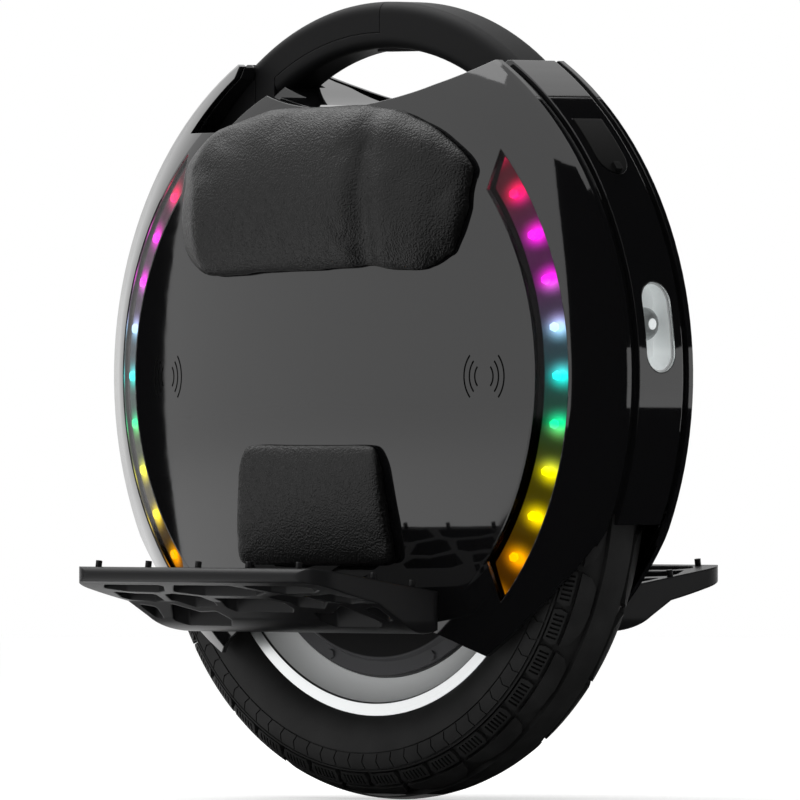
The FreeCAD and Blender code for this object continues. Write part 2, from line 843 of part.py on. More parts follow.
slope = math.atan2(float(bevel_radius - dome_radius), float(s.dome_width - s.bevel_width))
normal_side = math.sin(slope)
normal_out = math.cos(slope)
board_depth = s.lens_thickness + s.led_board_drop
board_back = board_depth + s.led_board_thickness
boards = []
lamps = []
for name, side in SIDES.items():
    for place_name, end in ENDS.items():
        label = f"{place_name}_{name}_light_lens"
        lens = light_layer(label, side, end, 0, s.lens_thickness, s.seat_gap)
        piece(lens, label)
        boards.append(light_layer("board", side, end, board_depth, board_back, s.led_board_margin))
        count = int(float(s.led_count))
        for index in range(count):
            angle = math.radians((index - (count - 1) / 2) * float(s.led_pitch_angle))
            along = Vector(math.cos(angle) * end, 0, math.sin(angle))
            share = float(bevel_radius - led_circle_radius) / float(bevel_radius - dome_radius)
            face_y = float(s.bevel_width) + share * float(s.dome_width - s.bevel_width)
            out = along * normal_out + Vector(0, side * normal_side, 0)
            depth = float(s.lens_thickness) * normal_side + float(s.seat_gap) + float(s.led_height)
            spot = along * float(led_circle_radius) + Vector(0, side * face_y, 0) - out * depth
            lamps.append(hex_pin(s.led_radius, s.led_height, spot, out))
led_boards = doc.addObject("Part::Compound", "led_boards")
led_boards.Links = boards
piece(led_boards, "led_boards")
leds = feature("leds", Part.makeCompound(lamps))
piece(place(leds, z=shell_height), "leds")

# Carry handle: one rounded arch between the two ends of the band
w = s.handle_half_width
rho = s.handle_round
arc = rho * (1 - math.sqrt(0.5))
r_out = s.handle_radius
half_section = [
    (w, r_out - rho),
    (w - arc, r_out - arc, w - rho, r_out),
    (rho - w, r_out),
    (arc - w, r_out - arc, -w, r_out - rho),
    (-w, handle_inner + rho),
    (arc - w, handle_inner + arc, rho - w, handle_inner),
    (w - rho, handle_inner),
    (w - arc, handle_inner + arc, w, handle_inner + rho),
]


def arch(name):
    return revolved(name, half_section, handle_height, angle=s.handle_end_angle * 2)


grip_radius = r_out - s.grip_depth
grip_end = s.pole_centre + pole_half


def grip_sector(name, gap):
    """The rear right quarter of the arch, which lifts out as the trolley grip."""
    side_face = s.grip_width - w + gap
    steps = [(-w - 5, grip_radius - gap), (side_face, grip_radius - gap), (side_face, r_out + 5),
             (-w - 5, r_out + 5)]
    ring = revolved(name, steps, handle_height)
    span = block(name, (-grip_end - gap, -FAR, handle_height), (gap - s.seat_gap, FAR, FAR * 3))
    return common(name, ring, span)


lift_low = handle_height + handle_inner - s.button_travel
lift_top = lift_low + s.button_depth
lift_half_length = s.lift_button_half_length + s.seat_gap
lift_half_width = s.lift_button_half_width + s.seat_gap
lift_room = block("lift_room", (-lift_half_length, -lift_half_width, handle_height + handle_inner - 10),
                  (lift_half_length, lift_half_width, lift_top + s.button_travel + s.seat_gap))
grip_room = grip_sector("grip_room", s.seat_gap)
piece(cut("handle_arch", arch("arch_blank"), grip_room, foot_room, lift_room), "handle_arch")
lift_button = block("lift_button", (-s.lift_button_half_length, -s.lift_button_half_width, lift_low),
                    (s.lift_button_half_length, s.lift_button_half_width, lift_top))
piece(lift_button, "lift_button")

# Trolley handle: the lifting grip with its foot, a flat bar and the tube that it slides in
strip = common("grip_strip", arch("grip_blank"), grip_sector("grip_shape", as_dim(0)))
leg_front = pole_half - s.pole_centre
leg = block("grip_leg", (-grip_end, -w, s.foot_bottom), (leg_front, -leg_in, s.leg_top))
foot = block("grip_foot", (-grip_end, -pole_out, s.foot_bottom), (leg_front, -leg_in, s.foot_top))
piece(fuse("trolley_grip", strip, fuse("leg_and_foot", leg, foot)), "trolley_grip")
tube_top = s.foot_bottom - 2


def pole(name, inset, low, high):
    """A flat upright bar about the trolley pole's centre line."""
    return block(name, (-grip_end + inset, -pole_out + inset, low),
                 (-s.pole_centre + pole_half - inset, -pole_in - inset, high))


tube_blank = pole("tube_blank", as_dim(0), s.pole_bottom, tube_top)
tube_bore = pole("tube_bore", s.pole_wall, s.pole_bottom - 5, tube_top + 5)
piece(cut("trolley_tube", tube_blank, tube_bore), "trolley_tube")
bar_bottom = s.pole_bottom + 10
piece(pole("trolley_bar", s.pole_wall + 0.1, bar_bottom, s.foot_bottom), "trolley_bar")

# Pedal brackets: a plate on the axle with a lug that carries the hinge pin
bracket_steps = [
    (s.bracket_half_length, s.hinge_height - s.lug_radius),
    (s.bracket_half_length, s.tyre_radius),
    (0, s.tyre_radius + s.bracket_half_length, -s.bracket_half_length, s.tyre_radius),
    (-s.bracket_half_length, s.hinge_height - s.lug_radius),
]
lug_low = s.hinge_height - s.lug_radius
lug_steps = [
    (wall_out + 2, lug_low),
    (s.hinge_width, lug_low),
    (s.hinge_width + s.lug_radius, s.hinge_height, s.hinge_width, lug_top),
    (wall_out + 2, lug_top),
]
pin_hole = s.hinge_pin_radius + s.shaft_gap


def cross_hole(name, radius, half_length, side):
    return cylinder(name, radius, half_length * 2, -half_length, s.hinge_width * side, s.hinge_height,
                    ALONG_X)


# Pedals: wedge-shaped castings with an S-shaped underside and an open lattice
rim_chord = math.sqrt(0.5)
pedal_section = [
    (s.pedal_inner, s.pedal_inner_top_height),
    (s.pedal_inner, s.pedal_root_height + 2),
    (s.pedal_inner + 3.5, s.pedal_heel_height + 2.5, s.pedal_heel, s.pedal_heel_height),
    ((s.pedal_heel + s.pedal_root) / 2, s.pedal_heel_height + 2.4, s.pedal_root, s.pedal_root_height),
    (s.pedal_waist, s.pedal_waist_height),
    ((s.pedal_waist + s.pedal_outer_top) / 2, s.pedal_lip_height - 7,
     s.pedal_outer_top - 1, s.pedal_lip_height),
    (s.pedal_outer, s.pedal_rim_height, s.pedal_outer_top, s.pedal_outer_top_height),
]
big = s.pedal_outer_corner
small = s.pedal_inner_corner
span = s.pedal_half_length
big_arc = big * (1 - rim_chord)
small_arc = small * (1 - rim_chord)
pedal_plan = [
    (span - small, s.pedal_inner),
    (span - small_arc, s.pedal_inner + small_arc, span, s.pedal_inner + small),
    (span, s.pedal_outer - big),
    (span - big_arc, s.pedal_outer - big_arc, span - big, s.pedal_outer),
    (big - span, s.pedal_outer),
    (big_arc - span, s.pedal_outer - big_arc, -span, s.pedal_outer - big),
    (-span, s.pedal_inner + small),
    (small_arc - span, s.pedal_inner + small_arc, small - span, s.pedal_inner),
]


bend = s.end_round
bend_arc = bend * (1 - rim_chord)
end_top = s.pedal_outer_top_height + 20
pedal_end_view = [
    (span, s.pedal_heel_height + bend),
    (span, end_top),
    (-span, end_top),
    (-span, s.pedal_heel_height + bend),
    (bend_arc - span, s.pedal_heel_height + bend_arc, bend - span, s.pedal_heel_height),
    (span - bend, s.pedal_heel_height),
]
pedal_end_view[0] = (span - bend_arc, s.pedal_heel_height + bend_arc, span, s.pedal_heel_height + bend)


def across(steps, side):
    """Plan points with their widths on the side asked for."""
    return [tuple(v * side if n % 2 else v for n, v in enumerate(step)) for step in steps]


# holes of the lattice, as plan corners drawn for this half length and reach: the webs fan out from the hinge
CELL_SPAN = 118.0
CELL_REACH = 196.0
MIDDLE_CELLS = (
    ((-26, 185.3), (26, 185.3), (44, 168), (24, 158), (-24, 158), (-44, 168)),
    ((-24, 150), (24, 150), (31, 131), (26, 126), (-26, 126), (-31, 131)),
)
SIDE_CELLS = (
    ((36, 185.3), (92, 185.3), (102, 176), (88, 168), (60, 166), (50, 170)),
    ((32, 155), (50, 163), (60, 160), (74, 141), (60, 131), (38, 133)),
    ((68, 161), (86, 162), (102, 167), (112, 150), (112, 142), (92, 137), (80, 141)),
    ((46, 126), (62, 125), (80, 135), (98, 115), (90, 108), (50, 108), (42, 116)),
    ((98, 131), (112, 134), (112, 118), (106, 116)),
)


def lattice(side):
    """Slanted holes with rounded corners, the same on both halves of the pedal."""
    cells = list(MIDDLE_CELLS) + list(SIDE_CELLS)
    cells += [tuple((-x, y) for x, y in cell) for cell in SIDE_CELLS]
    scale_x = float(s.pedal_half_length) / CELL_SPAN
    shift_y = float(s.pedal_outer) - CELL_REACH
    low = float(s.pedal_heel_height) - 20
    round_off = float(s.cell_round)
    holes = []
    for cell in cells:
        points = [Vector(x * scale_x, (y + shift_y) * side, low) for x, y in cell]
        wire = Part.makePolygon(points + points[:1])
        smooth = Part.Face(wire).makeOffset2D(-round_off).makeOffset2D(round_off)
        holes.append(smooth.extrude(Vector(0, 0, 100)))
    return feature("lattice", Part.makeCompound(holes))


tilt = math.degrees(math.atan2(float(s.pedal_outer_top_height - s.pedal_inner_top_height),
                               float(s.pedal_outer_top - s.pedal_inner)))
rise = (s.pedal_outer_top_height - s.pedal_inner_top_height) / (s.pedal_outer_top - s.pedal_inner)
for name, side in SIDES.items():
    plate = prism("bracket_plate", "XZ_Plane", bracket_steps, s.bracket_thickness,
                  0, (wall_out + s.bracket_thickness / 2) * side)
    lug = prism("bracket_lug", "YZ_Plane", sided(lug_steps, side), s.lug_half_length * 2)
    axle_hole = along_axle("axle_hole", bore, s.axle_half_length)
    lug_hole = cross_hole("lug_hole", pin_hole, span, side)
    bracket = cut(f"{name}_pedal_bracket", fuse("bracket_blank", plate, lug), axle_hole, lug_hole)
    piece(bracket, f"{name}_pedal_bracket")
    pin = cross_hole(f"{name}_hinge_pin", s.hinge_pin_radius, s.hinge_pin_half_length, side)
    piece(pin, f"{name}_hinge_pin")

    profile = prism("pedal_profile", "YZ_Plane", sided(pedal_section, side), span * 2)
    plan = prism("pedal_plan", "XY_Plane", across(pedal_plan, side), FAR * 2)
    near = s.pedal_inner - 30
    far = s.hinge_width + s.lug_radius + s.lug_gap + 0.2
    low_y, high_y = (near, far) if side == LEFT else (-far, -near)
    pocket = block("lug_room", (-s.lug_half_length - s.lug_gap, low_y, lug_low - s.lug_gap),
                   (s.lug_half_length + s.lug_gap, high_y, lug_top + 60))
    pin_room = cross_hole("pin_room", pin_hole, s.hinge_pin_half_length + s.seat_gap, side)
    ends = prism("pedal_ends", "XZ_Plane", pedal_end_view, FAR * 2)
    blank = common("pedal_blank", common("pedal_wedge", profile, plan), ends)
    pedal = cut(f"{name}_pedal", blank, lattice(side), pocket, pin_room)
    piece(pedal, f"{name}_pedal")

    studs = []
    edge = float(span - s.stud_inset)
    stud_places = [(edge * share, float(s.stud_line)) for share in (-0.82, -0.41, 0, 0.41, 0.82)]
    for width in (float(s.pedal_root) + 22, float(s.pedal_inner) + 27):
        stud_places += [(-edge, width), (edge, width)]
    for x, y in stud_places:
        z = float(s.pedal_inner_top_height) + (y - float(s.pedal_inner)) * float(rise)
        up = Rotation(Vector(1, 0, 0), tilt * side).multVec(Vector(0, 0, 1))
        studs.append(hex_pin(s.stud_radius, s.stud_height, Vector(x, y * side, z), up))
    piece(feature(f"{name}_pedal_studs", Part.makeCompound(studs)), f"{name}_pedal_studs")

# Pads: leather cushions with a crown, glued to the covers
dome_solid = revolved("dome_solid", [
    (s.cover_edge, 0),
    (s.cover_edge, bevel_radius),
    (s.bevel_width + s.seat_gap, bevel_radius),
    (s.dome_width + s.seat_gap, dome_radius),
    (s.cover_crown - dome_drop / 4 + s.seat_gap, dome_radius / 2, s.cover_crown + s.seat_gap, s.crown_flat),
    (s.cover_crown + s.seat_gap, 0),
], shell_height)
doc.recompute()


def pad_wire(spots):
    """A closed section: three arcs, each through a middle spot, and a straight back."""
    points = [Vector(*spot) for spot in spots]
    edges = [Part.Arc(points[n], points[n + 1], points[n + 2]).toShape() for n in (0, 2, 4)]
    edges.append(Part.makeLine(points[6], points[0]))
    return Part.Wire(edges)


back = float(s.dome_width) - 10
top = float(s.upper_pad_top)
bottom = float(s.upper_pad_bottom)
crown = float(s.upper_pad_crown)
reach = float(s.upper_pad_half_length)
crease = float(s.upper_pad_crease)
# stations along the pad: place, crown height, lower edge, upper edge
upper_stations = (
    (-reach, crown - 30, bottom + 30, top - 44),
    (10 - reach, crown - 17, bottom + 11, top - 31),
    (36 - reach, crown - 2, bottom + 1, top - 15),
    (crease - 100, crown, bottom + 1.5, top - 2),
    (crease - 14, crown - 0.5, bottom + 4, top),
    (crease, crown - 8, bottom + 4, top - 2),
    (crease + 12, crown - 4, bottom + 3, top - 3),
    (reach - 36, crown - 11, bottom + 1, top - 15),
    (reach - 10, crown - 20, bottom + 11, top - 31),
    (reach, crown - 30, bottom + 30, top - 44),
)
upper_wires = []
for x, front, low, high in upper_stations:
    upper_wires.append(pad_wire([
        (x, back, low),
        (x, (back + front) / 2 + 5, low + 1),
        (x, front - 3, low + (high - low) * 0.15),
        (x, front, low + (high - low) * 0.45),
        (x, front - 5, low + (high - low) * 0.76),
        (x, (back + front) / 2 + 7, high - 5),
        (x, back, high),
    ]))
upper_loft = Part.makeLoft(upper_wires, True, True)

low_edge = float(s.lower_pad_bottom)
high_edge = float(s.lower_pad_top)
low_half = float(s.lower_pad_bottom_half_length)
high_half = float(s.lower_pad_top_half_length)
front = float(s.lower_pad_crown)
# stations up the pad: height, half length, crown
lower_stations = (
    (low_edge, low_half - 4, front - 10),
    (low_edge + 4, low_half - 0.5, front - 6),
    (low_edge + 32, low_half * 0.6 + high_half * 0.4, front - 1),
    (high_edge - 17, low_half * 0.2 + high_half * 0.8, front),
    (high_edge - 4, high_half - 0.5, front - 1.5),
    (high_edge, high_half - 4, front - 4),
)
lower_wires = []
for z, half, face_y in lower_stations:
    lower_wires.append(pad_wire([
        (-half, back, z),
        (1.5 - half, (back + face_y) / 2 + 4, z),
        (5 - half, face_y - 2, z),
        (0, face_y, z),
        (half - 5, face_y - 2, z),
        (half - 1.5, (back + face_y) / 2 + 4, z),
        (half, back, z),
    ]))
lower_loft = Part.makeLoft(lower_wires, True, True)
for pad_name, loft in (("upper_pad", upper_loft), ("lower_pad", lower_loft)):
    left_pad = loft.cut(dome_solid.Shape)
    piece(feature(f"left_{pad_name}", left_pad), f"left_{pad_name}")
    piece(feature(f"right_{pad_name}", left_pad.mirror(Vector(), Vector(0, 1, 0))), f"right_{pad_name}")

# Lamps: a slot-shaped lens in each end of the band, over a cup with a round lamp
lens_in = band_radius - s.lamp_lens_thickness
lens_ring_steps = [
    (-s.band_half_width, lens_in),
    (s.band_half_width, lens_in),
    (s.band_half_width, band_radius),
    (-s.band_half_width, band_radius),
]
cup_width = s.lamp_width - s.seat_gap * 2
cup_length = s.lamp_length - s.seat_gap * 2
lamp_names = {"front": "headlight", "rear": "tail_light"}
cup_foot = lamp_pocket_radius + s.seat_gap
for place_name, end in ENDS.items():
    lamp = lamp_names[place_name]
    ring = revolved("lens_ring", lens_ring_steps, shell_height)
    shape = lamp_slot("lens_slot", cup_width, cup_length, lamp_pocket_radius, FAR, end)
    piece(common(f"{lamp}_lens", ring, shape), f"{lamp}_lens")
    cup = lamp_slot("cup", cup_width, cup_length, cup_foot, FAR, end)
    hollow = lamp_slot("cup_hollow", cup_width - s.lamp_wall * 2, cup_length - s.lamp_wall * 2,
                       cup_foot + s.lamp_wall, FAR, end)
    inside = cylinder("cup_limit", lens_in - s.seat_gap, FAR * 2, 0, -FAR, shell_height, ALONG_Y)
    piece(cut(f"{lamp}_cup", common("cup_blank", cup, inside), hollow), f"{lamp}_cup")
    lamp_steps = [(0, 0), (0, s.bulb_radius), (4, s.bulb_radius), (9, s.bulb_radius * 0.7, 11, 1), (11, 0)]
    turned = lamp_steps if end == 1 else mirrored(lamp_steps)
    bulb = revolved(f"{lamp}_bulb", turned, plane="XZ_Plane")
    place(bulb, (cup_foot + s.lamp_wall) * end, 0, s.bulb_height)
    piece(bulb, f"{lamp}_bulb")

# Charging port: a soft flap hinged at its upper edge over a round socket
flap_blank = radial("flap_blank", flap_outline(as_dim(0)), port_pocket_radius + s.seat_gap, FAR)
flap_limit = cylinder("flap_limit", flap_radius, FAR * 2, 0, -FAR, shell_height, ALONG_Y)
tab_end = s.port_half_length - 1
tab_half = s.tab_length / 2
tab = radial("flap_tab", [(tab_end - s.tab_length, -tab_half), (tab_end, -tab_half), (tab_end, tab_half),
                          (tab_end - s.tab_length, tab_half)], flap_radius - 3, flap_radius + s.tab_height)
piece(fuse("charge_flap", common("flap_shape", flap_blank, flap_limit), tab), "charge_flap")
socket_blank = radial("socket_blank", round_outline(s.socket_radius), socket_bottom, socket_top)
socket_hole = radial("socket_hole", round_outline(s.socket_bore), socket_bottom + 2, FAR)
piece(cut("charge_socket", socket_blank, socket_hole), "charge_socket")

# Power button: a round push button in the rear of the band, opposite the charging port
piece(rear_button("power_button", s.power_button_radius, button_foot, s.button_depth), "power_button")

# Electronics between the housing walls and the covers
for name, side in SIDES.items():
    low_y = wall_out if side == LEFT else -wall_out - s.battery_thickness
    battery = block(f"{name}_battery", (-s.battery_half_length, low_y, s.battery_bottom),
                    (s.battery_half_length, low_y + s.battery_thickness, s.battery_top))
    piece(battery, f"{name}_battery")
    speaker_steps = [
        (wall_out, 0),
        (wall_out + s.speaker_depth - 2, 0),
        (wall_out + s.speaker_depth, s.speaker_radius - 4),
        (wall_out + s.speaker_depth, s.speaker_radius),
        (wall_out + s.speaker_depth - 3, s.speaker_radius),
        (wall_out + 4, s.speaker_radius / 2),
        (wall_out, s.speaker_radius / 2),
    ]
    speaker = revolved(f"{name}_speaker", sided(speaker_steps, side))
    piece(place(speaker, s.speaker_place, 0, s.speaker_height), f"{name}_speaker")
board = block("control_board", (-s.board_half_length, wall_out, s.board_bottom),
              (s.board_half_length, wall_out + s.board_thickness, s.board_top))
piece(board, "control_board")
sink_base = wall_out + s.board_thickness
sink_top = sink_base + 3
fins = int(float(s.fin_count))
pitch = s.board_half_length * 2 / (2 * fins - 1)
sink_steps = [(s.board_half_length, sink_base), (-s.board_half_length, sink_base)]
for index in range(fins):
    left_edge = pitch * (2 * index) - s.board_half_length
    sink_steps += [(left_edge, sink_top), (left_edge, sink_top + s.fin_height)]
    sink_steps += [(left_edge + pitch, sink_top + s.fin_height), (left_edge + pitch, sink_top)]
sink_steps = sink_steps[:2] + sink_steps[3:-1]
board_middle = (s.board_bottom + s.board_top) / 2
heat_sink = prism("heat_sink", "XY_Plane", sink_steps, s.board_top - s.board_bottom, 0, 0, board_middle)
piece(heat_sink, "heat_sink")

doc.recompute()
for thing in doc.Objects:
    if "Invalid" in thing.State or "Error" in thing.State:
        raise RuntimeError(f"{thing.Name} ({thing.Label}) failed: {thing.State}")
for thing in pieces:
    shape = thing.Shape
    if shape.isNull() or not shape.isValid() or not shape.Solids:
        raise RuntimeError(f"{thing.Label} has no valid solid")
for thing in pieces:
    thing.Shape.exportStep(f"parts/{thing.Label}.step")
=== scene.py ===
import math

import bpy
import numpy as np
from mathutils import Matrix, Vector


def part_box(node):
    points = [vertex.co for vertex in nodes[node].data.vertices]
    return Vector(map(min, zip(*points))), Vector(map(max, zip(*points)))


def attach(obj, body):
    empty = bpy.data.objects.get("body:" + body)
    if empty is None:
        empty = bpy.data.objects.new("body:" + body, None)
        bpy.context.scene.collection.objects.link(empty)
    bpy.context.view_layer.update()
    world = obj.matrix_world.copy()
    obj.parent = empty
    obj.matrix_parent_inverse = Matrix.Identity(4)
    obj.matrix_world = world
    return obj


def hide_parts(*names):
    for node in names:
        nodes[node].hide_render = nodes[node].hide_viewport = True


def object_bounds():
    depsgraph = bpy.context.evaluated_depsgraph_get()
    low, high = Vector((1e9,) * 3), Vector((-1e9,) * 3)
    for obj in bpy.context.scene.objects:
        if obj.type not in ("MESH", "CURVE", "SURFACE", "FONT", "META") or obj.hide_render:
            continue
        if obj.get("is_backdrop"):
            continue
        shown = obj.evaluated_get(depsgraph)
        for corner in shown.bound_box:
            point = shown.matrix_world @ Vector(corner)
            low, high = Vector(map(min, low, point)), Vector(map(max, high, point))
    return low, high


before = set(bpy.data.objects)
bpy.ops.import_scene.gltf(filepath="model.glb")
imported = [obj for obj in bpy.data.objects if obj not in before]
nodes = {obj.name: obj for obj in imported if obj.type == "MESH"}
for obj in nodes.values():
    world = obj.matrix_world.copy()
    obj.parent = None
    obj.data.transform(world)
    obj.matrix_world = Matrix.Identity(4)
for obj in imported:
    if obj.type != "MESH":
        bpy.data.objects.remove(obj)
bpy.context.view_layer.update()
bpy.ops.object.select_all(action="DESELECT")

# Camera: a long lens far away, level with the middle of the body, half way between
# its front and its right side.
CAMERA_LENS = 800.0
CAMERA_SENSOR = 36.0
CAMERA_HEIGHT = 0.2662
CAMERA_REACH = 100
PICTURE_WIDTH = 0.5333
camera_distance = PICTURE_WIDTH * CAMERA_LENS / CAMERA_SENSOR
camera_step = camera_distance * math.sqrt(0.5)
bpy.ops.object.camera_add(location=(camera_step, -camera_step, CAMERA_HEIGHT),
                          rotation=(math.radians(90), 0, math.radians(45)))
camera = bpy.context.object
camera.data.lens = CAMERA_LENS
camera.data.sensor_width = CAMERA_SENSOR
camera.data.clip_end = CAMERA_REACH
bpy.context.scene.camera = camera
bpy.context.scene.view_settings.view_transform = "Standard"

# Studio: white surroundings that gloss and glass can see, a pale floor, one large soft lamp
# overhead, and a black flag and floor card in front, which leave the gloss shell's edges dark.
SKY_FILL = 0.55
FLOOR_SIZE = 12
FLOOR_GLOW = 0.55
LAMP_PLACE = (-1.1, -0.1, 2.4)
LAMP_LEAN = math.radians(-25)
LAMP_SIZE = 2.2
LAMP_POWER = 34
STUDIO_STEPS = 180
FLAG_RADIUS = 2.5
FLAG_FRONT = (-68, 97)
FLAG_BACK = (-178, -155)
FLAG_TOPS = (3.1, 0.85)
FLAG_RAISED = 0.55
CARD_HEIGHT = 0.004
CARD_NEAR = 0.2
CARD_FAR = 2.3
CARD_FRONT = (-105, 97)


def linear(code):
    """An sRGB hex colour as the linear values that sockets take."""
    parts = [int(code[n:n + 2], 16) / 255 for n in (1, 3, 5)]
    return tuple(p / 12.92 if p <= 0.04045 else ((p + 0.055) / 1.055) ** 2.4 for p in parts) + (1.0,)


def fill_in(tree, node, settings, links=None):
    """Sets a node's options and socket values, and links its inputs."""
    for key, value in settings.items():
        if isinstance(key, int) or key in node.inputs:
            node.inputs[key].default_value = value
        else:
            setattr(node, key, value)
    for key, output in (links or {}).items():
        tree.links.new(output, node.inputs[key])
    return node


def add_node(tree, kind, settings, links=None):
    """Adds a shader node with its settings and links."""
    return fill_in(tree, tree.nodes.new("ShaderNode" + kind), settings, links)


def start_material(name):
    """A new material with its node tree and its main shader."""
    material = bpy.data.materials.new(name)
    material.use_nodes = True
    return material, material.node_tree, material.node_tree.nodes["Principled BSDF"]


def dress(material, *pieces):
    """Gives pieces a material: CAD nodes by their names, or new objects."""
    for piece in pieces:
        data = nodes[piece].data if isinstance(piece, str) else piece.data
        data.materials.clear()
        data.materials.append(material)


def seen_rays(tree):
    """One for rays that the eye follows, straight, by reflection or through glass, else nought."""
    path = add_node(tree, "LightPath", {})
    seen = add_node(tree, "Math", {"operation": "MAXIMUM"},
                    {0: path.outputs["Is Camera Ray"], 1: path.outputs["Is Glossy Ray"]})
    seen = add_node(tree, "Math", {"operation": "MAXIMUM"},
                    {0: seen.outputs[0], 1: path.outputs["Is Transmission Ray"]})
    return seen.outputs[0]


def edit_all():
    """Goes into edit mode with all of the active piece selected."""
    bpy.ops.object.mode_set(mode="EDIT")
    bpy.ops.mesh.select_all(action="SELECT")


def delete_where(piece, kind, unwanted):
    """Deletes the vertices or faces of the active piece that a test picks out."""
    listed = "vertices" if kind == "VERT" else "polygons"
    picked = [unwanted(part) for part in getattr(piece.data, listed)]
    bpy.ops.object.mode_set(mode="EDIT")
    bpy.ops.mesh.select_mode(type=kind)
    bpy.ops.mesh.select_all(action="DESELECT")
    bpy.ops.object.mode_set(mode="OBJECT")
    getattr(piece.data, listed).foreach_set("select", picked)
    bpy.ops.object.mode_set(mode="EDIT")
    bpy.ops.mesh.delete(type=kind)
    bpy.ops.object.mode_set(mode="OBJECT")


def turn_of(vertex):
    """A vertex's angle round the upright axis, in degrees."""
    return math.degrees(math.atan2(vertex.co.y, vertex.co.x))


def in_spans(vertex, *spans):
    """Says whether a vertex's angle is within one of the spans."""
    return any(first <= turn_of(vertex) <= last for first, last in spans)


def on_rim(vertex):
    """Says whether a vertex of the floor card is on its outer edge."""
    return vertex.co.length > 2 * CARD_NEAR


world = bpy.data.worlds.new("white_studio")
bpy.context.scene.world = world
world.use_nodes = True
sky = world.node_tree
strength = add_node(sky, "MapRange", {"To Min": SKY_FILL, "To Max": 1.0}, {"Value": seen_rays(sky)})
fill_in(sky, sky.nodes["Background"], {"Color": (1, 1, 1, 1)}, {"Strength": strength.outputs[0]})

bpy.ops.mesh.primitive_plane_add(size=FLOOR_SIZE, location=(0, 0, 0))
floor = bpy.context.object
floor.name = "studio_floor"
# white card: matte, white to the eye and to reflections, with the soft shadow of what stands on it
material, tree, card = start_material("white_card")
glow = add_node(tree, "Math", {"operation": "MULTIPLY", 1: FLOOR_GLOW}, {0: seen_rays(tree)})
fill_in(tree, card, {"Base Color": linear("#e4e4e4"), "Roughness": 0.9, "Specular IOR Level": 0.1,
                     "Emission Color": (1, 1, 1, 1)}, {"Emission Strength": glow.outputs[0]})
dress(material, floor)
floor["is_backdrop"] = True

bpy.ops.object.light_add(type="AREA", location=LAMP_PLACE, rotation=(0, LAMP_LEAN, 0))
lamp = bpy.context.object
lamp.name = "overhead_softbox"
lamp.data.shape = "RECTANGLE"
lamp.data.size = LAMP_SIZE
lamp.data.size_y = LAMP_SIZE
lamp.data.energy = LAMP_POWER

bpy.ops.mesh.primitive_circle_add(vertices=STUDIO_STEPS, radius=FLAG_RADIUS, location=(0, 0, 0))
flag = bpy.context.object
flag.name = "black_flag"
edit_all()
bpy.ops.mesh.extrude_region_move(TRANSFORM_OT_translate={"value": (0, 0, FLAG_TOPS[0])})
bpy.ops.object.mode_set(mode="OBJECT")
delete_where(flag, "VERT", lambda vertex: not in_spans(vertex, FLAG_FRONT, FLAG_BACK))
for vertex in flag.data.vertices:
    in_front = in_spans(vertex, FLAG_FRONT)
    if vertex.co.z > 0:
        vertex.co.z = FLAG_TOPS[0] if in_front else FLAG_TOPS[1]
    else:
        # its foot stands on the floor on the camera's side and is raised past the front
        vertex.co.z = FLAG_RAISED if in_front and turn_of(vertex) > 0 else 0
bpy.ops.object.select_all(action="DESELECT")
# the card is seen only in reflections; its disc under the body is painted shade in place of the
# floor's own shadow there, which the glowing floor does not show
bpy.ops.mesh.primitive_circle_add(vertices=STUDIO_STEPS, radius=CARD_NEAR, fill_type="NGON",
                                  location=(0, 0, CARD_HEIGHT))
black_card = bpy.context.object
black_card.name = "black_card"
bpy.ops.object.mode_set(mode="EDIT")
bpy.ops.mesh.select_mode(type="EDGE")
bpy.ops.mesh.select_all(action="SELECT")
bpy.ops.mesh.extrude_edges_move()
spread = CARD_FAR / CARD_NEAR
bpy.ops.transform.resize(value=(spread, spread, 1), center_override=(0, 0, CARD_HEIGHT))
bpy.ops.object.mode_set(mode="OBJECT")
delete_where(black_card, "VERT",
             lambda vertex: on_rim(vertex) and not in_spans(vertex, CARD_FRONT, FLAG_BACK))
for vertex in black_card.data.vertices:
    # where the flag stands on the floor, the card reaches its foot
    at_flag = turn_of(vertex) < CARD_FRONT[0] or in_spans(vertex, (FLAG_FRONT[0], 0))
    if on_rim(vertex) and at_flag:
        vertex.co = vertex.co * (FLAG_RADIUS / CARD_FAR)
# velvet: takes nearly all the light that falls on it; on the card under the body it is painted
# shade, seen only in reflections
material, tree, velvet = start_material("black_velvet")
fill_in(tree, velvet, {"Base Color": linear("#020202"), "Roughness": 1.0, "Specular IOR Level": 0.0})
dress(material, flag, black_card)
for screen in (flag, black_card):
    screen.visible_camera = False
    screen.visible_diffuse = False
    screen.visible_shadow = False
    screen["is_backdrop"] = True

# Tyre: a black moulded rubber tyre with a smooth centre rib, long waved blocks beside it,
# a row of siped shoulder blocks and low chevrons, seated on the rim by its two beads.
# Its sizes are in millimetres, along and across the tread or from the axle.
WHEEL_RADIUS = 211.0
WHEEL_STEPS = 176
RUBBER_PROFILE = [(0, 211), (9, 210.3), (18, 207.4), (25, 203.4), (30, 198), (33.5, 190.5),
                  (34.9, 180), (33.5, 169.5), (29.5, 161), (24.6, 155.6)]
BEAD_PROFILE = [(24.0, 155.4), (19.6, 155.4), (19.6, 149.4), (12.8, 149.4)]
INNER_PROFILE = [(20, 165), (26, 182), (22, 194), (0, 200)]
CORNER_CUTS = 3
SLOPE_REACH = 0.5
TREAD_PITCHES = 22
TREAD_DEPTH = 3.4
TREAD_SPREAD = 1.3
LUG_ROOT = -TREAD_DEPTH - 0.8
LONG_BLOCK = [(1.5, 20.2), (4, 14.8), (10.5, 11.2), (30, 10.6), (44, 12), (52.5, 15), (57.5, 20.2)]
SHOULDER_BLOCK = [(1.8, 22.2), (26.2, 22.2), (28, 25), (26.2, 29.6), (2.3, 29.6), (0.6, 26)]
SHOULDERS = 2
SIPE = [(0, 23.2), (1.7, 23.2), (2.4, 28.4), (0.7, 28.4)]
SIPES = 6
SIPE_FIRST = 4.2
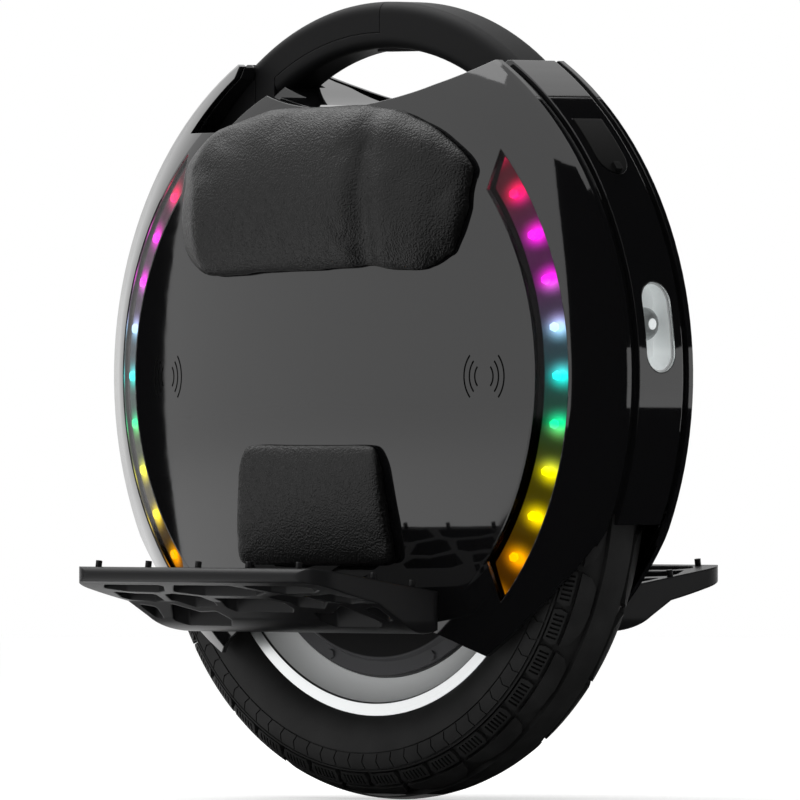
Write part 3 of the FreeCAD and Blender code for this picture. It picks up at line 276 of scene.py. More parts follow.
SIPE_STEP = 3.5
SIPE_HEIGHTS = (-2.6, 1.0)
CHEVRON = [(0.4, 32.4), (14.3, 32.4), (16.7, 36.2), (14.3, 40.0), (0.4, 40.0), (2.8, 36.2)]
CHEVRONS = 4
CHEVRON_ROOT = -1.8
CHEVRON_FLOOR = -1.1
BEND_STEP = 6.0
BENDS_ACROSS = (13.0, 17.0, 25.5, 34.3, 38.1)
TYRE_CREASE = math.radians(28)
profile = np.array(RUBBER_PROFILE, float)
for _ in range(CORNER_CUTS):
    # corner cutting turns the few stations into a round section
    near = profile[:-1] * 0.75 + profile[1:] * 0.25
    far = profile[:-1] * 0.25 + profile[1:] * 0.75
    profile = np.concatenate([profile[:1], np.stack([near, far], 1).reshape(-1, 2), profile[-1:]])
profile_y, profile_r = profile.T
profile_t = np.concatenate([[0], np.cumsum(np.hypot(np.diff(profile_y), np.diff(profile_r)))])
pitch_length = 2 * math.pi * WHEEL_RADIUS / TREAD_PITCHES
# points nearer than this, in metres, are one
MERGE_REACH = 1e-5


def on_section(across, height):
    """Half width and radius of a point at a distance across the tread and a height over it."""
    t = abs(across)
    (y, r), (y1, r1), (y2, r2) = [
        (np.interp(spot, profile_t, profile_y), np.interp(spot, profile_t, profile_r))
        for spot in (t, max(t - SLOPE_REACH, 0), t + SLOPE_REACH)]
    run = math.hypot(y2 - y1, r2 - r1)
    sign = 1 if across >= 0 else -1
    return sign * (y - height * (r2 - r1) / run), r + height * (y2 - y1) / run


def tread_lug(name, corners, start, low, high):
    """One flat tread block: (along, across) corners from a start, raised between two heights."""
    bpy.ops.object.select_all(action="DESELECT")
    bpy.ops.mesh.primitive_circle_add(vertices=len(corners), radius=1, fill_type="NGON")
    lug = bpy.context.object
    lug.name = name
    for vertex, (along, across) in zip(lug.data.vertices, corners):
        vertex.co = (along + start, across, low)
    edit_all()
    bpy.ops.mesh.extrude_region_move(TRANSFORM_OT_translate={"value": (0, 0, high - low)})
    bpy.ops.mesh.select_all(action="SELECT")
    bpy.ops.mesh.normals_make_consistent(inside=False)
    bpy.ops.object.mode_set(mode="OBJECT")
    return lug


def join(objects, name):
    """Joins objects into the first of them, under a new name."""
    bpy.ops.object.select_all(action="DESELECT")
    for thing in objects:
        thing.select_set(True)
    bpy.context.view_layer.objects.active = objects[0]
    bpy.ops.object.join()
    objects[0].name = name
    objects[0].data.name = name
    return objects[0]


def apply_modifier(piece, kind, **settings):
    """Adds a modifier to a piece, sets it and applies it."""
    modifier = piece.modifiers.new(kind.lower(), kind)
    for key, value in settings.items():
        setattr(modifier, key, value)
    bpy.context.view_layer.objects.active = piece
    bpy.ops.object.modifier_apply(modifier=modifier.name)


lugs = [tread_lug("long_block", LONG_BLOCK, 0, LUG_ROOT, 0)]
for number in range(SHOULDERS):
    start = number * pitch_length / SHOULDERS
    shoulder = tread_lug("shoulder_block", SHOULDER_BLOCK, start, LUG_ROOT, 0)
    first = start + SIPE_FIRST
    cutter = join([tread_lug("sipe", SIPE, first + slot * SIPE_STEP, *SIPE_HEIGHTS)
                   for slot in range(SIPES)], "sipes")
    apply_modifier(shoulder, "BOOLEAN", operation="DIFFERENCE", object=cutter)
    bpy.data.objects.remove(cutter)
    lugs.append(shoulder)
for number in range(CHEVRONS):
    lugs.append(tread_lug("chevron", CHEVRON, number * pitch_length / CHEVRONS, CHEVRON_ROOT, 0))
side_lugs = join(lugs, "side_lugs")
bends = [((along, 0, 0), (1, 0, 0))
         for along in np.arange(-BEND_STEP, pitch_length + 2 * BEND_STEP, BEND_STEP)]
bends += [((0, across, 0), (0, 1, 0)) for across in BENDS_ACROSS]
bpy.ops.object.mode_set(mode="EDIT")
for spot, way in bends:
    # cuts let the flat blocks bend round the wheel and over the shoulder
    bpy.ops.mesh.select_all(action="SELECT")
    bpy.ops.mesh.bisect(plane_co=spot, plane_no=way)
bpy.ops.mesh.select_all(action="SELECT")
bpy.ops.object.mode_set(mode="OBJECT")
bpy.ops.object.duplicate()
other_lugs = bpy.context.object
for vertex in other_lugs.data.vertices:
    vertex.co.x = vertex.co.x + pitch_length / 2
    vertex.co.y = -vertex.co.y
edit_all()
bpy.ops.mesh.flip_normals()
bpy.ops.object.mode_set(mode="OBJECT")
tread = join([side_lugs, other_lugs], "tread")
apply_modifier(tread, "ARRAY", count=TREAD_PITCHES, use_relative_offset=False,
               use_constant_offset=True, constant_offset_displace=(pitch_length, 0, 0))
for vertex in tread.data.vertices:
    along, across, height = vertex.co
    half, radius = on_section(across * TREAD_SPREAD, height)
    turn = along / WHEEL_RADIUS
    rise = math.cos(turn) * radius + WHEEL_RADIUS
    vertex.co = Vector((math.sin(turn) * radius, half, rise)) / 1000

# the carcass under the blocks: centre rib, groove, low shoulder rib, chevron floor and side wall
section_steps = [(0, 0), (4, 0), (8.4, 0)]
section_steps += [(t, -TREAD_DEPTH) for t in (9.0, 13, 17, 21, 25, 29, 30.2)]
section_steps += [(30.6, 0), (31.4, 0)]
section_steps += [(t, CHEVRON_FLOOR) for t in (31.6, 34, 37, 40.6)] + [(40.8, 0)]
section_steps += [(t, 0) for t in np.linspace(42.5, float(profile_t[-1]) / TREAD_SPREAD - 1, 12)]
half_section = [on_section(t * TREAD_SPREAD, h) for t, h in section_steps]
half_section += BEAD_PROFILE + INNER_PROFILE
ring = half_section + [(-y, r) for y, r in reversed(half_section[1:-1])]
bpy.ops.object.select_all(action="DESELECT")
bpy.ops.mesh.primitive_circle_add(vertices=len(ring), radius=1)
carcass = bpy.context.object
for vertex, (y, r) in zip(carcass.data.vertices, ring):
    vertex.co = (0, y / 1000, (r + WHEEL_RADIUS) / 1000)
edit_all()
bpy.ops.mesh.spin(steps=WHEEL_STEPS, angle=2 * math.pi,
                  center=(0, 0, WHEEL_RADIUS / 1000), axis=(0, 1, 0))
bpy.ops.mesh.select_all(action="SELECT")
bpy.ops.mesh.remove_doubles(threshold=MERGE_REACH)
bpy.ops.mesh.normals_make_consistent(inside=False)
bpy.ops.object.mode_set(mode="OBJECT")
tyre = join([carcass, tread], "tyre_rubber")
bpy.ops.object.shade_smooth_by_angle(angle=TYRE_CREASE)

# moulded rubber: near black and dull, a little greyer in patches of about 20 mm where the mould
# left its skin; its fine grain is drawn 0.7 mm wide, coarser than it is, so that it shows
material, tree, rubber = start_material("moulded_rubber")
place = add_node(tree, "TexCoord", {}).outputs["Object"]
blotch = add_node(tree, "TexNoise", {"Scale": 45.0, "Detail": 4.0}, {"Vector": place})
shade = add_node(tree, "ValToRGB", {}, {"Fac": blotch.outputs["Fac"]})
shade.color_ramp.elements[0].position = 0.3
shade.color_ramp.elements[0].color = linear("#202020")
shade.color_ramp.elements[1].position = 0.75
shade.color_ramp.elements[1].color = linear("#2c2c2c")
grain = add_node(tree, "TexNoise", {"Scale": 1400.0, "Detail": 2.0}, {"Vector": place})
relief = add_node(tree, "Bump", {"Strength": 0.18, "Distance": 0.0003},
                  {"Height": grain.outputs["Fac"]})
fill_in(tree, rubber, {"Roughness": 0.62, "Specular IOR Level": 0.3},
        {"Base Color": shade.outputs["Color"], "Normal": relief.outputs["Normal"]})
dress(material, tyre)
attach(tyre, "wheel")
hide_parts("tyre")

# Rim: a cast alloy ring, turned bright on its lips and lacquered pale silver in its wells, with
# turning marks that run round the axle.
AXLE_HEIGHT = WHEEL_RADIUS / 1000
LIP_STEP = {"From Min": 0.1455, "From Max": 0.1475}
LIP_SHADOW_LINE = 0.1466


def distance_from_line(tree, axis, height):
    """The distance in metres from a level line over the origin that runs along x or y."""
    place = add_node(tree, "TexCoord", {}).outputs["Object"]
    across = (0, 1, 1) if axis == "x" else (1, 0, 1)
    centred = add_node(tree, "VectorMath", {"operation": "SUBTRACT", 1: (0, 0, height)}, {0: place})
    flat = add_node(tree, "VectorMath", {"operation": "MULTIPLY", 1: across},
                    {0: centred.outputs[0]})
    distance = add_node(tree, "VectorMath", {"operation": "LENGTH"}, {0: flat.outputs[0]})
    return distance.outputs["Value"]


# turned aluminium: bright, with fine rings drawn a millimetre apart, wider than a tool leaves them
material, tree, alloy = start_material("turned_aluminium")
from_axle = distance_from_line(tree, "y", AXLE_HEIGHT)
ring_scale = add_node(tree, "Math", {"operation": "MULTIPLY", 1: 900.0}, {0: from_axle})
marks = add_node(tree, "TexNoise", {"noise_dimensions": "1D", "Scale": 1.0, "Detail": 3.0},
                 {"W": ring_scale.outputs[0]})
lip = add_node(tree, "MapRange", {**LIP_STEP, "To Min": 0.62, "To Max": 0.3}, {"Value": from_axle})
sheen = add_node(tree, "Math", {"operation": "MULTIPLY_ADD", 1: 0.12},
                 {0: marks.outputs["Fac"], 2: lip.outputs[0]})
relief = add_node(tree, "Bump", {"Strength": 0.05, "Distance": 0.0002},
                  {"Height": marks.outputs["Fac"]})
# a painted shadow line runs round where the lip steps down into the well
step = add_node(tree, "Math", {"operation": "SUBTRACT", 1: LIP_SHADOW_LINE}, {0: from_axle})
step = add_node(tree, "Math", {"operation": "ABSOLUTE"}, {0: step.outputs[0]})
clear_of_shadow_line = add_node(tree, "MapRange", {"From Min": 0.0003, "From Max": 0.0007},
                 {"Value": step.outputs[0]})
tone = add_node(tree, "ValToRGB", {}, {"Fac": clear_of_shadow_line.outputs[0]})
tone.color_ramp.elements[0].color = linear("#2c2e2e")
tone.color_ramp.elements[1].color = linear("#f6f8f8")
bare = add_node(tree, "MapRange", {**LIP_STEP, "To Min": 0.05, "To Max": 1.0}, {"Value": from_axle})
fill_in(tree, alloy, {}, {"Base Color": tone.outputs["Color"], "Metallic": bare.outputs[0],
                          "Roughness": sheen.outputs[0], "Normal": relief.outputs["Normal"]})
dress(material, "rim")

# Motor covers, bearings and axle: black coated castings screwed to the hub, steel bearings pressed
# into them, and the fixed steel axle with its nuts. The pedal brackets on the axle are coated too.
RING_EDGE = {"From Min": 0.1155, "From Max": 0.1165}

# satin paint: an even low sheen that wavers over a peel about a millimetre and a half across
material, tree, coat = start_material("satin_black_paint")
place = add_node(tree, "TexCoord", {}).outputs["Object"]
peel = add_node(tree, "TexNoise", {"Scale": 700.0, "Detail": 2.0}, {"Vector": place})
relief = add_node(tree, "Bump", {"Strength": 0.12, "Distance": 0.0003},
                  {"Height": peel.outputs["Fac"]})
soft = add_node(tree, "MapRange", {"To Min": 0.34, "To Max": 0.46}, {"Value": peel.outputs["Fac"]})
fill_in(tree, coat, {"Base Color": linear("#0e0e0f"), "Specular IOR Level": 0.35},
        {"Roughness": soft.outputs[0], "Normal": relief.outputs["Normal"]})
dress(material, "left_pedal_bracket", "right_pedal_bracket")

# the motor covers and their screws carry a flatter coat, black inside a plain dark grey ring
material = material.copy()
material.name = "satin_black_paint_ringed"
tree = material.node_tree
ring = add_node(tree, "MapRange", RING_EDGE, {"Value": distance_from_line(tree, "y", AXLE_HEIGHT)})
tone = add_node(tree, "ValToRGB", {}, {"Fac": ring.outputs[0]})
tone.color_ramp.elements[0].color = linear("#0a0a0b")
tone.color_ramp.elements[1].color = linear("#5c5c5e")
fill_in(tree, tree.nodes["Principled BSDF"], {"Specular IOR Level": 0.07},
        {"Base Color": tone.outputs["Color"]})
dress(material, "left_motor_cover", "right_motor_cover", "motor_cover_screws")

# turned steel: grey and half bright, clouded by scratches about a millimetre apart
material, tree, steel = start_material("turned_steel")
place = add_node(tree, "TexCoord", {}).outputs["Object"]
scratch = add_node(tree, "TexNoise", {"Scale": 900.0, "Detail": 3.0}, {"Vector": place})
soft = add_node(tree, "MapRange", {"To Min": 0.28, "To Max": 0.42},
                {"Value": scratch.outputs["Fac"]})
fill_in(tree, steel, {"Base Color": linear("#8e9094"), "Metallic": 1.0},
        {"Roughness": soft.outputs[0]})
dress(material, "left_bearing", "right_bearing", "axle", "stator_core",
      "left_hinge_pin", "right_hinge_pin")

# black oxide: a thin dark skin on the steel nuts, a little brighter where a tool rubbed it
material, tree, oxide = start_material("black_oxide_steel")
place = add_node(tree, "TexCoord", {}).outputs["Object"]
rub = add_node(tree, "TexNoise", {"Scale": 500.0, "Detail": 3.0}, {"Vector": place})
soft = add_node(tree, "MapRange", {"To Min": 0.35, "To Max": 0.55}, {"Value": rub.outputs["Fac"]})
fill_in(tree, oxide, {"Base Color": linear("#26262a"), "Metallic": 0.7},
        {"Roughness": soft.outputs[0]})
dress(material, "axle_nuts")

# Magnet ring, windings and valve: a dipped steel ring between the rim and the motor covers, coils
# of copper wire wound on the stator, and a brass valve stem through the rim.

# dark zinc: dull grey, clouded in patches of about 4 mm
material, tree, zinc = start_material("dark_zinc")
place = add_node(tree, "TexCoord", {}).outputs["Object"]
dip = add_node(tree, "TexNoise", {"Scale": 260.0, "Detail": 3.0}, {"Vector": place})
soft = add_node(tree, "MapRange", {"To Min": 0.4, "To Max": 0.55}, {"Value": dip.outputs["Fac"]})
fill_in(tree, zinc, {"Base Color": linear("#3a3a3b"), "Metallic": 0.6},
        {"Roughness": soft.outputs[0]})
dress(material, "magnet_ring")

# enamelled copper: warm, glossy wires side by side, 1.4 mm thick
material, tree, copper = start_material("enamelled_copper")
place = add_node(tree, "TexCoord", {}).outputs["Object"]
turns = add_node(tree, "TexWave", {"Scale": 220.0, "Distortion": 0.6}, {"Vector": place})
relief = add_node(tree, "Bump", {"Strength": 0.5, "Distance": 0.0006},
                  {"Height": turns.outputs["Fac"]})
fill_in(tree, copper, {"Base Color": linear("#b5642f"), "Metallic": 0.9, "Roughness": 0.35},
        {"Normal": relief.outputs["Normal"]})
dress(material, "stator_windings")

# dull brass: tarnished to a brown grey, in patches of about 3 mm
material, tree, brass = start_material("dull_brass")
place = add_node(tree, "TexCoord", {}).outputs["Object"]
tarnish = add_node(tree, "TexNoise", {"Scale": 300.0, "Detail": 3.0}, {"Vector": place})
soft = add_node(tree, "MapRange", {"To Min": 0.3, "To Max": 0.5}, {"Value": tarnish.outputs["Fac"]})
fill_in(tree, brass, {"Base Color": linear("#3a3730"), "Metallic": 0.8},
        {"Roughness": soft.outputs[0]})
dress(material, "valve_stem")

# Shell: high gloss black ABS mouldings, the wheel housing with its centre band and the two
# domed side covers, clipped and screwed together from inside. The bevel is slightly crowned.
SHELL_HEIGHT = 0.2823
BEVEL_INNER = 0.1875
BEVEL_MIDDLE = 0.216

# gloss ABS: deep black with mirror-like reflections, a little softer in waves of about 17 mm
material, tree, gloss = start_material("gloss_black_abs")
place = add_node(tree, "TexCoord", {}).outputs["Object"]
peel = add_node(tree, "TexNoise", {"Scale": 60.0, "Detail": 2.0}, {"Vector": place})
soft = add_node(tree, "MapRange", {"To Min": 0.03, "To Max": 0.06}, {"Value": peel.outputs["Fac"]})
edges = add_node(tree, "Bevel", {"samples": 4, "Radius": 0.0009})
# the crown falls away with the square of the distance from the bevel's middle
outside = add_node(tree, "Math", {"operation": "MAXIMUM", 1: BEVEL_INNER},
                   {0: distance_from_line(tree, "y", SHELL_HEIGHT)})
off = add_node(tree, "Math", {"operation": "SUBTRACT", 1: BEVEL_MIDDLE}, {0: outside.outputs[0]})
crown = add_node(tree, "Math", {"operation": "MULTIPLY"}, {0: off.outputs[0], 1: off.outputs[0]})
relief = add_node(tree, "Bump", {"Strength": 1.0, "Distance": 5.0, "invert": True},
                  {"Height": crown.outputs[0], "Normal": edges.outputs["Normal"]})
fill_in(tree, gloss, {"Base Color": linear("#111112"), "IOR": 1.68},
        {"Roughness": soft.outputs[0], "Normal": relief.outputs["Normal"]})
dress(material, "inner_frame", "left_cover", "right_cover")

# Side lights: smoky moulded lenses over boards of coloured diodes, whose light, spreading in the
# space behind each lens, is painted as a glow on the boards. A black tray behind each board keeps
# the light in.
LED_CIRCLE = 0.2011
LED_PITCH = math.radians(9.2)
LED_REACH = 4.5
GLOW_SPREAD = {"From Min": 0.003, "From Max": 0.017}
LIGHT_COLOURS = ["#ffa400", "#ffe800", "#f2f200", "#10f088", "#10ece0",
                 "#a8d8ff", "#ff14f0", "#ff14e8", "#ff0c5c"]
TRAY_DEPTH = 0.0076
TRAY_GAP = 0.0003
TRAY_WALL = 0.0006


def light_pattern(tree):
    """The colour along a strip, and the distance from the nearest diode in metres."""
    place = add_node(tree, "TexCoord", {}).outputs["Object"]
    split = add_node(tree, "SeparateXYZ", {}, {0: place})
    along = add_node(tree, "Math", {"operation": "ABSOLUTE"}, {0: split.outputs["X"]})
    rise = add_node(tree, "Math", {"operation": "SUBTRACT", 1: SHELL_HEIGHT},
                    {0: split.outputs["Z"]})
    angle = add_node(tree, "Math", {"operation": "ARCTAN2"},
                     {0: rise.outputs[0], 1: along.outputs[0]})
    step = add_node(tree, "Math", {"operation": "DIVIDE", 1: LED_PITCH}, {0: angle.outputs[0]})
    share = add_node(tree, "MapRange", {"From Min": -LED_REACH, "From Max": LED_REACH},
                     {"Value": step.outputs[0]})
    ramp = add_node(tree, "ValToRGB", {}, {"Fac": share.outputs[0]})
    band = ramp.color_ramp
    for number, code in enumerate(LIGHT_COLOURS):
        spot = (number + 0.5) / len(LIGHT_COLOURS)
        element = band.elements[number] if number < 2 else band.elements.new(spot)
        element.position = spot
        element.color = linear(code)
    whole = add_node(tree, "Math", {"operation": "ROUND"}, {0: step.outputs[0]})
    rest = add_node(tree, "Math", {"operation": "SUBTRACT"},
                    {0: step.outputs[0], 1: whole.outputs[0]})
    run = add_node(tree, "Math", {"operation": "MULTIPLY", 1: LED_PITCH * LED_CIRCLE},
                   {0: rest.outputs[0]})
    flat = add_node(tree, "CombineXYZ", {}, {"X": along.outputs[0], "Y": rise.outputs[0]})
    radius = add_node(tree, "VectorMath", {"operation": "LENGTH"}, {0: flat.outputs[0]})
    out = add_node(tree, "Math", {"operation": "SUBTRACT", 1: LED_CIRCLE},
                   {0: radius.outputs["Value"]})
    offset = add_node(tree, "CombineXYZ", {}, {"X": run.outputs[0], "Y": out.outputs[0]})
    away = add_node(tree, "VectorMath", {"operation": "LENGTH"}, {0: offset.outputs[0]})
    return ramp.outputs["Color"], away.outputs["Value"]


def copy_of_node(node, name):
    """A copy of a CAD node as a piece of its own, with its loose triangles merged."""
    bpy.ops.object.select_all(action="DESELECT")
    piece = nodes[node].copy()
    piece.data = nodes[node].data.copy()
    bpy.context.scene.collection.objects.link(piece)
    piece.parent = None
    for key in list(piece.keys()):
        del piece[key]
    piece.name = name
    piece.data.name = name
    piece.select_set(True)
    bpy.context.view_layer.objects.active = piece
    edit_all()
    bpy.ops.mesh.customdata_custom_splitnormals_clear()
    bpy.ops.mesh.remove_doubles(threshold=MERGE_REACH)
    bpy.ops.object.mode_set(mode="OBJECT")
    return piece


# lit board: dark, with painted pools of coloured light around the diodes on its outward face, a glow
# in its emission that stands in for the diodes' light
material, tree, board = start_material("lit_circuit_board")
colour, away = light_pattern(tree)
fall = add_node(tree, "MapRange", {**GLOW_SPREAD, "To Min": 1.0, "To Max": 0.0}, {"Value": away})
power = add_node(tree, "Math", {"operation": "POWER", 1: 3.6}, {0: fall.outputs[0]})
power = add_node(tree, "Math", {"operation": "MULTIPLY_ADD", 1: 2.4, 2: 0.09}, {0: power.outputs[0]})
coords = add_node(tree, "TexCoord", {})
spot = add_node(tree, "SeparateXYZ", {}, {0: coords.outputs["Object"]})
facing = add_node(tree, "SeparateXYZ", {}, {0: coords.outputs["Normal"]})
side = add_node(tree, "Math", {"operation": "SIGN"}, {0: spot.outputs["Y"]})
outward = add_node(tree, "Math", {"operation": "MULTIPLY"},
                   {0: side.outputs[0], 1: facing.outputs["Y"]})
front = add_node(tree, "Math", {"operation": "GREATER_THAN", 1: 0.3}, {0: outward.outputs[0]})
glow = add_node(tree, "Math", {"operation": "MULTIPLY"}, {0: power.outputs[0], 1: front.outputs[0]})
fill_in(tree, board, {"Base Color": linear("#2a282b"), "Roughness": 0.5},
        {"Emission Color": colour, "Emission Strength": glow.outputs[0]})
dress(material, "led_boards")

# lit diodes: small spots of strong colour, each from its place along the strip
material, tree, diode = start_material("lit_diode")
colour, _ = light_pattern(tree)
fill_in(tree, diode, {"Base Color": linear("#303030"), "Emission Strength": 3.4, "Roughness": 0.3},
        {"Emission Color": colour})
dress(material, "leds")

# smoked polycarbonate: glossy and see-through, a little grey, with a moulded peel of about 6 mm
material, tree, smoke = start_material("smoked_polycarbonate")
place = add_node(tree, "TexCoord", {}).outputs["Object"]
peel = add_node(tree, "TexNoise", {"Scale": 180.0, "Detail": 2.0}, {"Vector": place})
soft = add_node(tree, "MapRange", {"To Min": 0.05, "To Max": 0.12}, {"Value": peel.outputs["Fac"]})
fill_in(tree, smoke, {"Base Color": linear("#c8c0c6"), "Transmission Weight": 1.0, "IOR": 1.2},
        {"Roughness": soft.outputs[0]})
dress(material, "front_left_light_lens", "front_right_light_lens",
      "rear_left_light_lens", "rear_right_light_lens")

# black foam: swallows light, with a fine open grain about a millimetre across
material, tree, foam = start_material("black_foam")
place = add_node(tree, "TexCoord", {}).outputs["Object"]
cells = add_node(tree, "TexVoronoi", {"Scale": 900.0}, {"Vector": place})
relief = add_node(tree, "Bump", {"Strength": 0.4, "Distance": 0.0004},
                  {"Height": cells.outputs["Distance"]})
fill_in(tree, foam, {"Base Color": linear("#060606"), "Roughness": 0.95, "Specular IOR Level": 0.1},
        {"Normal": relief.outputs["Normal"]})
for end in ("front", "rear"):
    for side, way in (("left", 1), ("right", -1)):
        tray = copy_of_node(f"{end}_{side}_light_lens", f"{end}_{side}_light_tray")
        # only the lens's inner face is kept, and drawn out into a deep tray
        delete_where(tray, "FACE", lambda face: face.normal.y * way > -0.5)
        edit_all()
        bpy.ops.transform.translate(value=(0, -way * TRAY_GAP, 0))
        bpy.ops.mesh.extrude_region_move(TRANSFORM_OT_translate={"value": (0, -way * TRAY_DEPTH, 0)})
        bpy.ops.object.mode_set(mode="OBJECT")
        # the near side, which the extrusion left in place, comes off so that the tray is open
        delete_where(tray, "FACE", lambda face: not face.select and abs(face.normal.y) > 0.5)
        apply_modifier(tray, "SOLIDIFY", thickness=TRAY_WALL, offset=0)
        edit_all()
        bpy.ops.mesh.normals_make_consistent(inside=False)
        bpy.ops.mesh.select_mode(type="VERT")
        bpy.ops.object.mode_set(mode="OBJECT")
        dress(material, tray)
        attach(tray, "shell")

# Carry handle and trolley: a moulded black nylon arch screwed down over the wheel housing, the grip
# strip on it, the small nylon buttons, and the drawn aluminium pole that slides up out of the shell.

# satin nylon: a spark texture drawn 0.7 mm wide, coarser than it is, with softened edges
material, tree, satin = start_material("satin_nylon")
place = add_node(tree, "TexCoord", {}).outputs["Object"]
spark = add_node(tree, "TexNoise", {"Scale": 1500.0, "Detail": 2.0}, {"Vector": place})
edges = add_node(tree, "Bevel", {"samples": 4, "Radius": 0.0012})
relief = add_node(tree, "Bump", {"Strength": 0.12, "Distance": 0.0002},
                  {"Height": spark.outputs["Fac"], "Normal": edges.outputs["Normal"]})
soft = add_node(tree, "MapRange", {"To Min": 0.45, "To Max": 0.6}, {"Value": spark.outputs["Fac"]})
fill_in(tree, satin, {"Base Color": linear("#141415"), "Specular IOR Level": 0.14},
        {"Roughness": soft.outputs[0], "Normal": relief.outputs["Normal"]})
dress(material, "handle_arch", "trolley_grip", "lift_button", "power_button")

# anodised aluminium: grey, with drawing lines along the pole about 0.7 mm apart
material, tree, pole = start_material("anodised_aluminium")
place = add_node(tree, "TexCoord", {}).outputs["Object"]
stretch = add_node(tree, "Mapping", {"Scale": (1400, 1400, 20)}, {"Vector": place})
draw = add_node(tree, "TexNoise", {"Scale": 1.0, "Detail": 2.0},
                {"Vector": stretch.outputs["Vector"]})
soft = add_node(tree, "MapRange", {"To Min": 0.3, "To Max": 0.45}, {"Value": draw.outputs["Fac"]})
fill_in(tree, pole, {"Base Color": linear("#6c6d70"), "Metallic": 1.0},
        {"Roughness": soft.outputs[0]})
dress(material, "trolley_tube", "trolley_bar", "heat_sink")

# Pedals: cast alloy wedges with an open lattice, powder coated matte black, on hinge pins
# through the bracket's lug; small grub screws stand along their edges for grip.

# powder coat: matte, with grit drawn half a millimetre wide and edges that the coat has rounded
material, tree, powder = start_material("matte_powder_coat")
place = add_node(tree, "TexCoord", {}).outputs["Object"]
grit = add_node(tree, "TexNoise", {"Scale": 1800.0, "Detail": 2.0}, {"Vector": place})
edges = add_node(tree, "Bevel", {"samples": 6, "Radius": 0.002})
relief = add_node(tree, "Bump", {"Strength": 0.15, "Distance": 0.0002},
                  {"Height": grit.outputs["Fac"], "Normal": edges.outputs["Normal"]})
soft = add_node(tree, "MapRange", {"To Min": 0.3, "To Max": 0.42}, {"Value": grit.outputs["Fac"]})
fill_in(tree, powder, {"Base Color": linear("#1b1b1c"), "Specular IOR Level": 0.15},
        {"Roughness": soft.outputs[0], "Normal": relief.outputs["Normal"]})
dress(material, "left_pedal", "right_pedal", "left_pedal_studs", "right_pedal_studs")

# Pads: foam knee and shin pads under pebbled black synthetic leather, glued to the covers.
# They start from the solids' own forms, and the foam's pressure rounds them.
PAD_VOXEL = 0.0024
PAD_HEM = 0.007
PAD_ROUNDING = (("", 26), ("hem", 60), ("", 4))
PAD_REGAIN = (1.025, 1.0, 1.035)
PAD_PRESSURE = 4.0
PAD_QUALITY = 4
PAD_FRAMES = 20
PAD_SWELL = 0.0018
PAD_SETTLING = 8
COVER_CROWN = 0.084
COVER_FALL = 0.0206


def padded_cover(node, name):
    """A foam pad under leather in the place of a CAD pad, slightly swollen by its own foam."""
    pad = copy_of_node(node, name)
    pad.data.remesh_voxel_size = PAD_VOXEL
    bpy.ops.object.voxel_remesh()
    hem = pad.vertex_groups.new(name="hem")
    for vertex in pad.data.vertices:
        x, y, z = vertex.co
        cover_face = COVER_CROWN - COVER_FALL * (x * x + (z - SHELL_HEIGHT) ** 2) / BEVEL_INNER ** 2
        if abs(y) - cover_face < PAD_HEM:
            hem.add([vertex.index], 1.0, "REPLACE")
    for group, turns in PAD_ROUNDING:
        apply_modifier(pad, "SMOOTH", vertex_group=group, factor=0.5, iterations=turns)
    # the rounding draws the outline in, so it is let out again to the solid's own
    low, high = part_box(node)
    edit_all()
    bpy.ops.transform.resize(value=PAD_REGAIN, center_override=(low + high) / 2)
    bpy.ops.object.mode_set(mode="OBJECT")
    rest = np.array([v.co for v in pad.data.vertices])
    cloth = pad.modifiers.new("foam", "CLOTH")
    cloth.settings.use_pressure = True
    cloth.settings.uniform_pressure_force = PAD_PRESSURE
    cloth.settings.effector_weights.gravity = 0
    cloth.settings.vertex_group_mass = "hem"
    cloth.settings.quality = PAD_QUALITY
    cloth.point_cache.frame_start = 1
    cloth.point_cache.frame_end = PAD_FRAMES
    for number in range(1, PAD_FRAMES + 1):
        bpy.context.scene.frame_set(number)
    bpy.ops.object.modifier_apply(modifier="foam")
    bpy.context.scene.frame_set(1)
    # no point moves by more than the swell that the leather allows
    move = np.array([v.co for v in pad.data.vertices]) - rest
    length = np.linalg.norm(move, axis=1, keepdims=True)
    capped = rest + move * np.minimum(1, PAD_SWELL / np.maximum(length, 1e-9))
    for vertex, spot in zip(pad.data.vertices, capped):
        vertex.co = spot
    apply_modifier(pad, "SMOOTH", factor=0.5, iterations=PAD_SETTLING)
    apply_modifier(pad, "SUBSURF", levels=1, render_levels=1)
    bpy.ops.object.shade_smooth()
    return pad


# synthetic leather: an embossed pebble grain about a millimetre and a half across, dull on the
# pebbles' tops and darker in the lines between them
material, tree, leather = start_material("pebbled_leather")
place = add_node(tree, "TexCoord", {}).outputs["Object"]
wander = add_node(tree, "TexNoise", {"Scale": 160.0, "Detail": 2.0}, {"Vector": place})
shift = add_node(tree, "VectorMath", {"operation": "MULTIPLY_ADD", 1: (0.004, 0.004, 0.004)},
                 {0: wander.outputs["Color"], 2: place})
pebbles = add_node(tree, "TexVoronoi", {"Scale": 720.0, "feature": "SMOOTH_F1", "Smoothness": 0.6},
                   {"Vector": shift.outputs[0]})
creases = add_node(tree, "TexNoise", {"Scale": 900.0, "Detail": 3.0}, {"Vector": shift.outputs[0]})
height = add_node(tree, "Math", {"operation": "MULTIPLY_ADD", 1: -1.0, 2: 1.0},
                  {0: pebbles.outputs["Distance"]})
height = add_node(tree, "Math", {"operation": "MULTIPLY_ADD", 1: 0.4},
                  {0: creases.outputs["Fac"], 2: height.outputs[0]})
relief = add_node(tree, "Bump", {"Strength": 0.6, "Distance": 0.0007}, {"Height": height.outputs[0]})
shade = add_node(tree, "ValToRGB", {}, {"Fac": pebbles.outputs["Distance"]})
shade.color_ramp.elements[0].color = linear("#0e0e0e")
shade.color_ramp.elements[1].position = 0.8
shade.color_ramp.elements[1].color = linear("#050505")
soft = add_node(tree, "MapRange", {"To Min": 0.3, "To Max": 0.48},
                {"Value": pebbles.outputs["Distance"]})
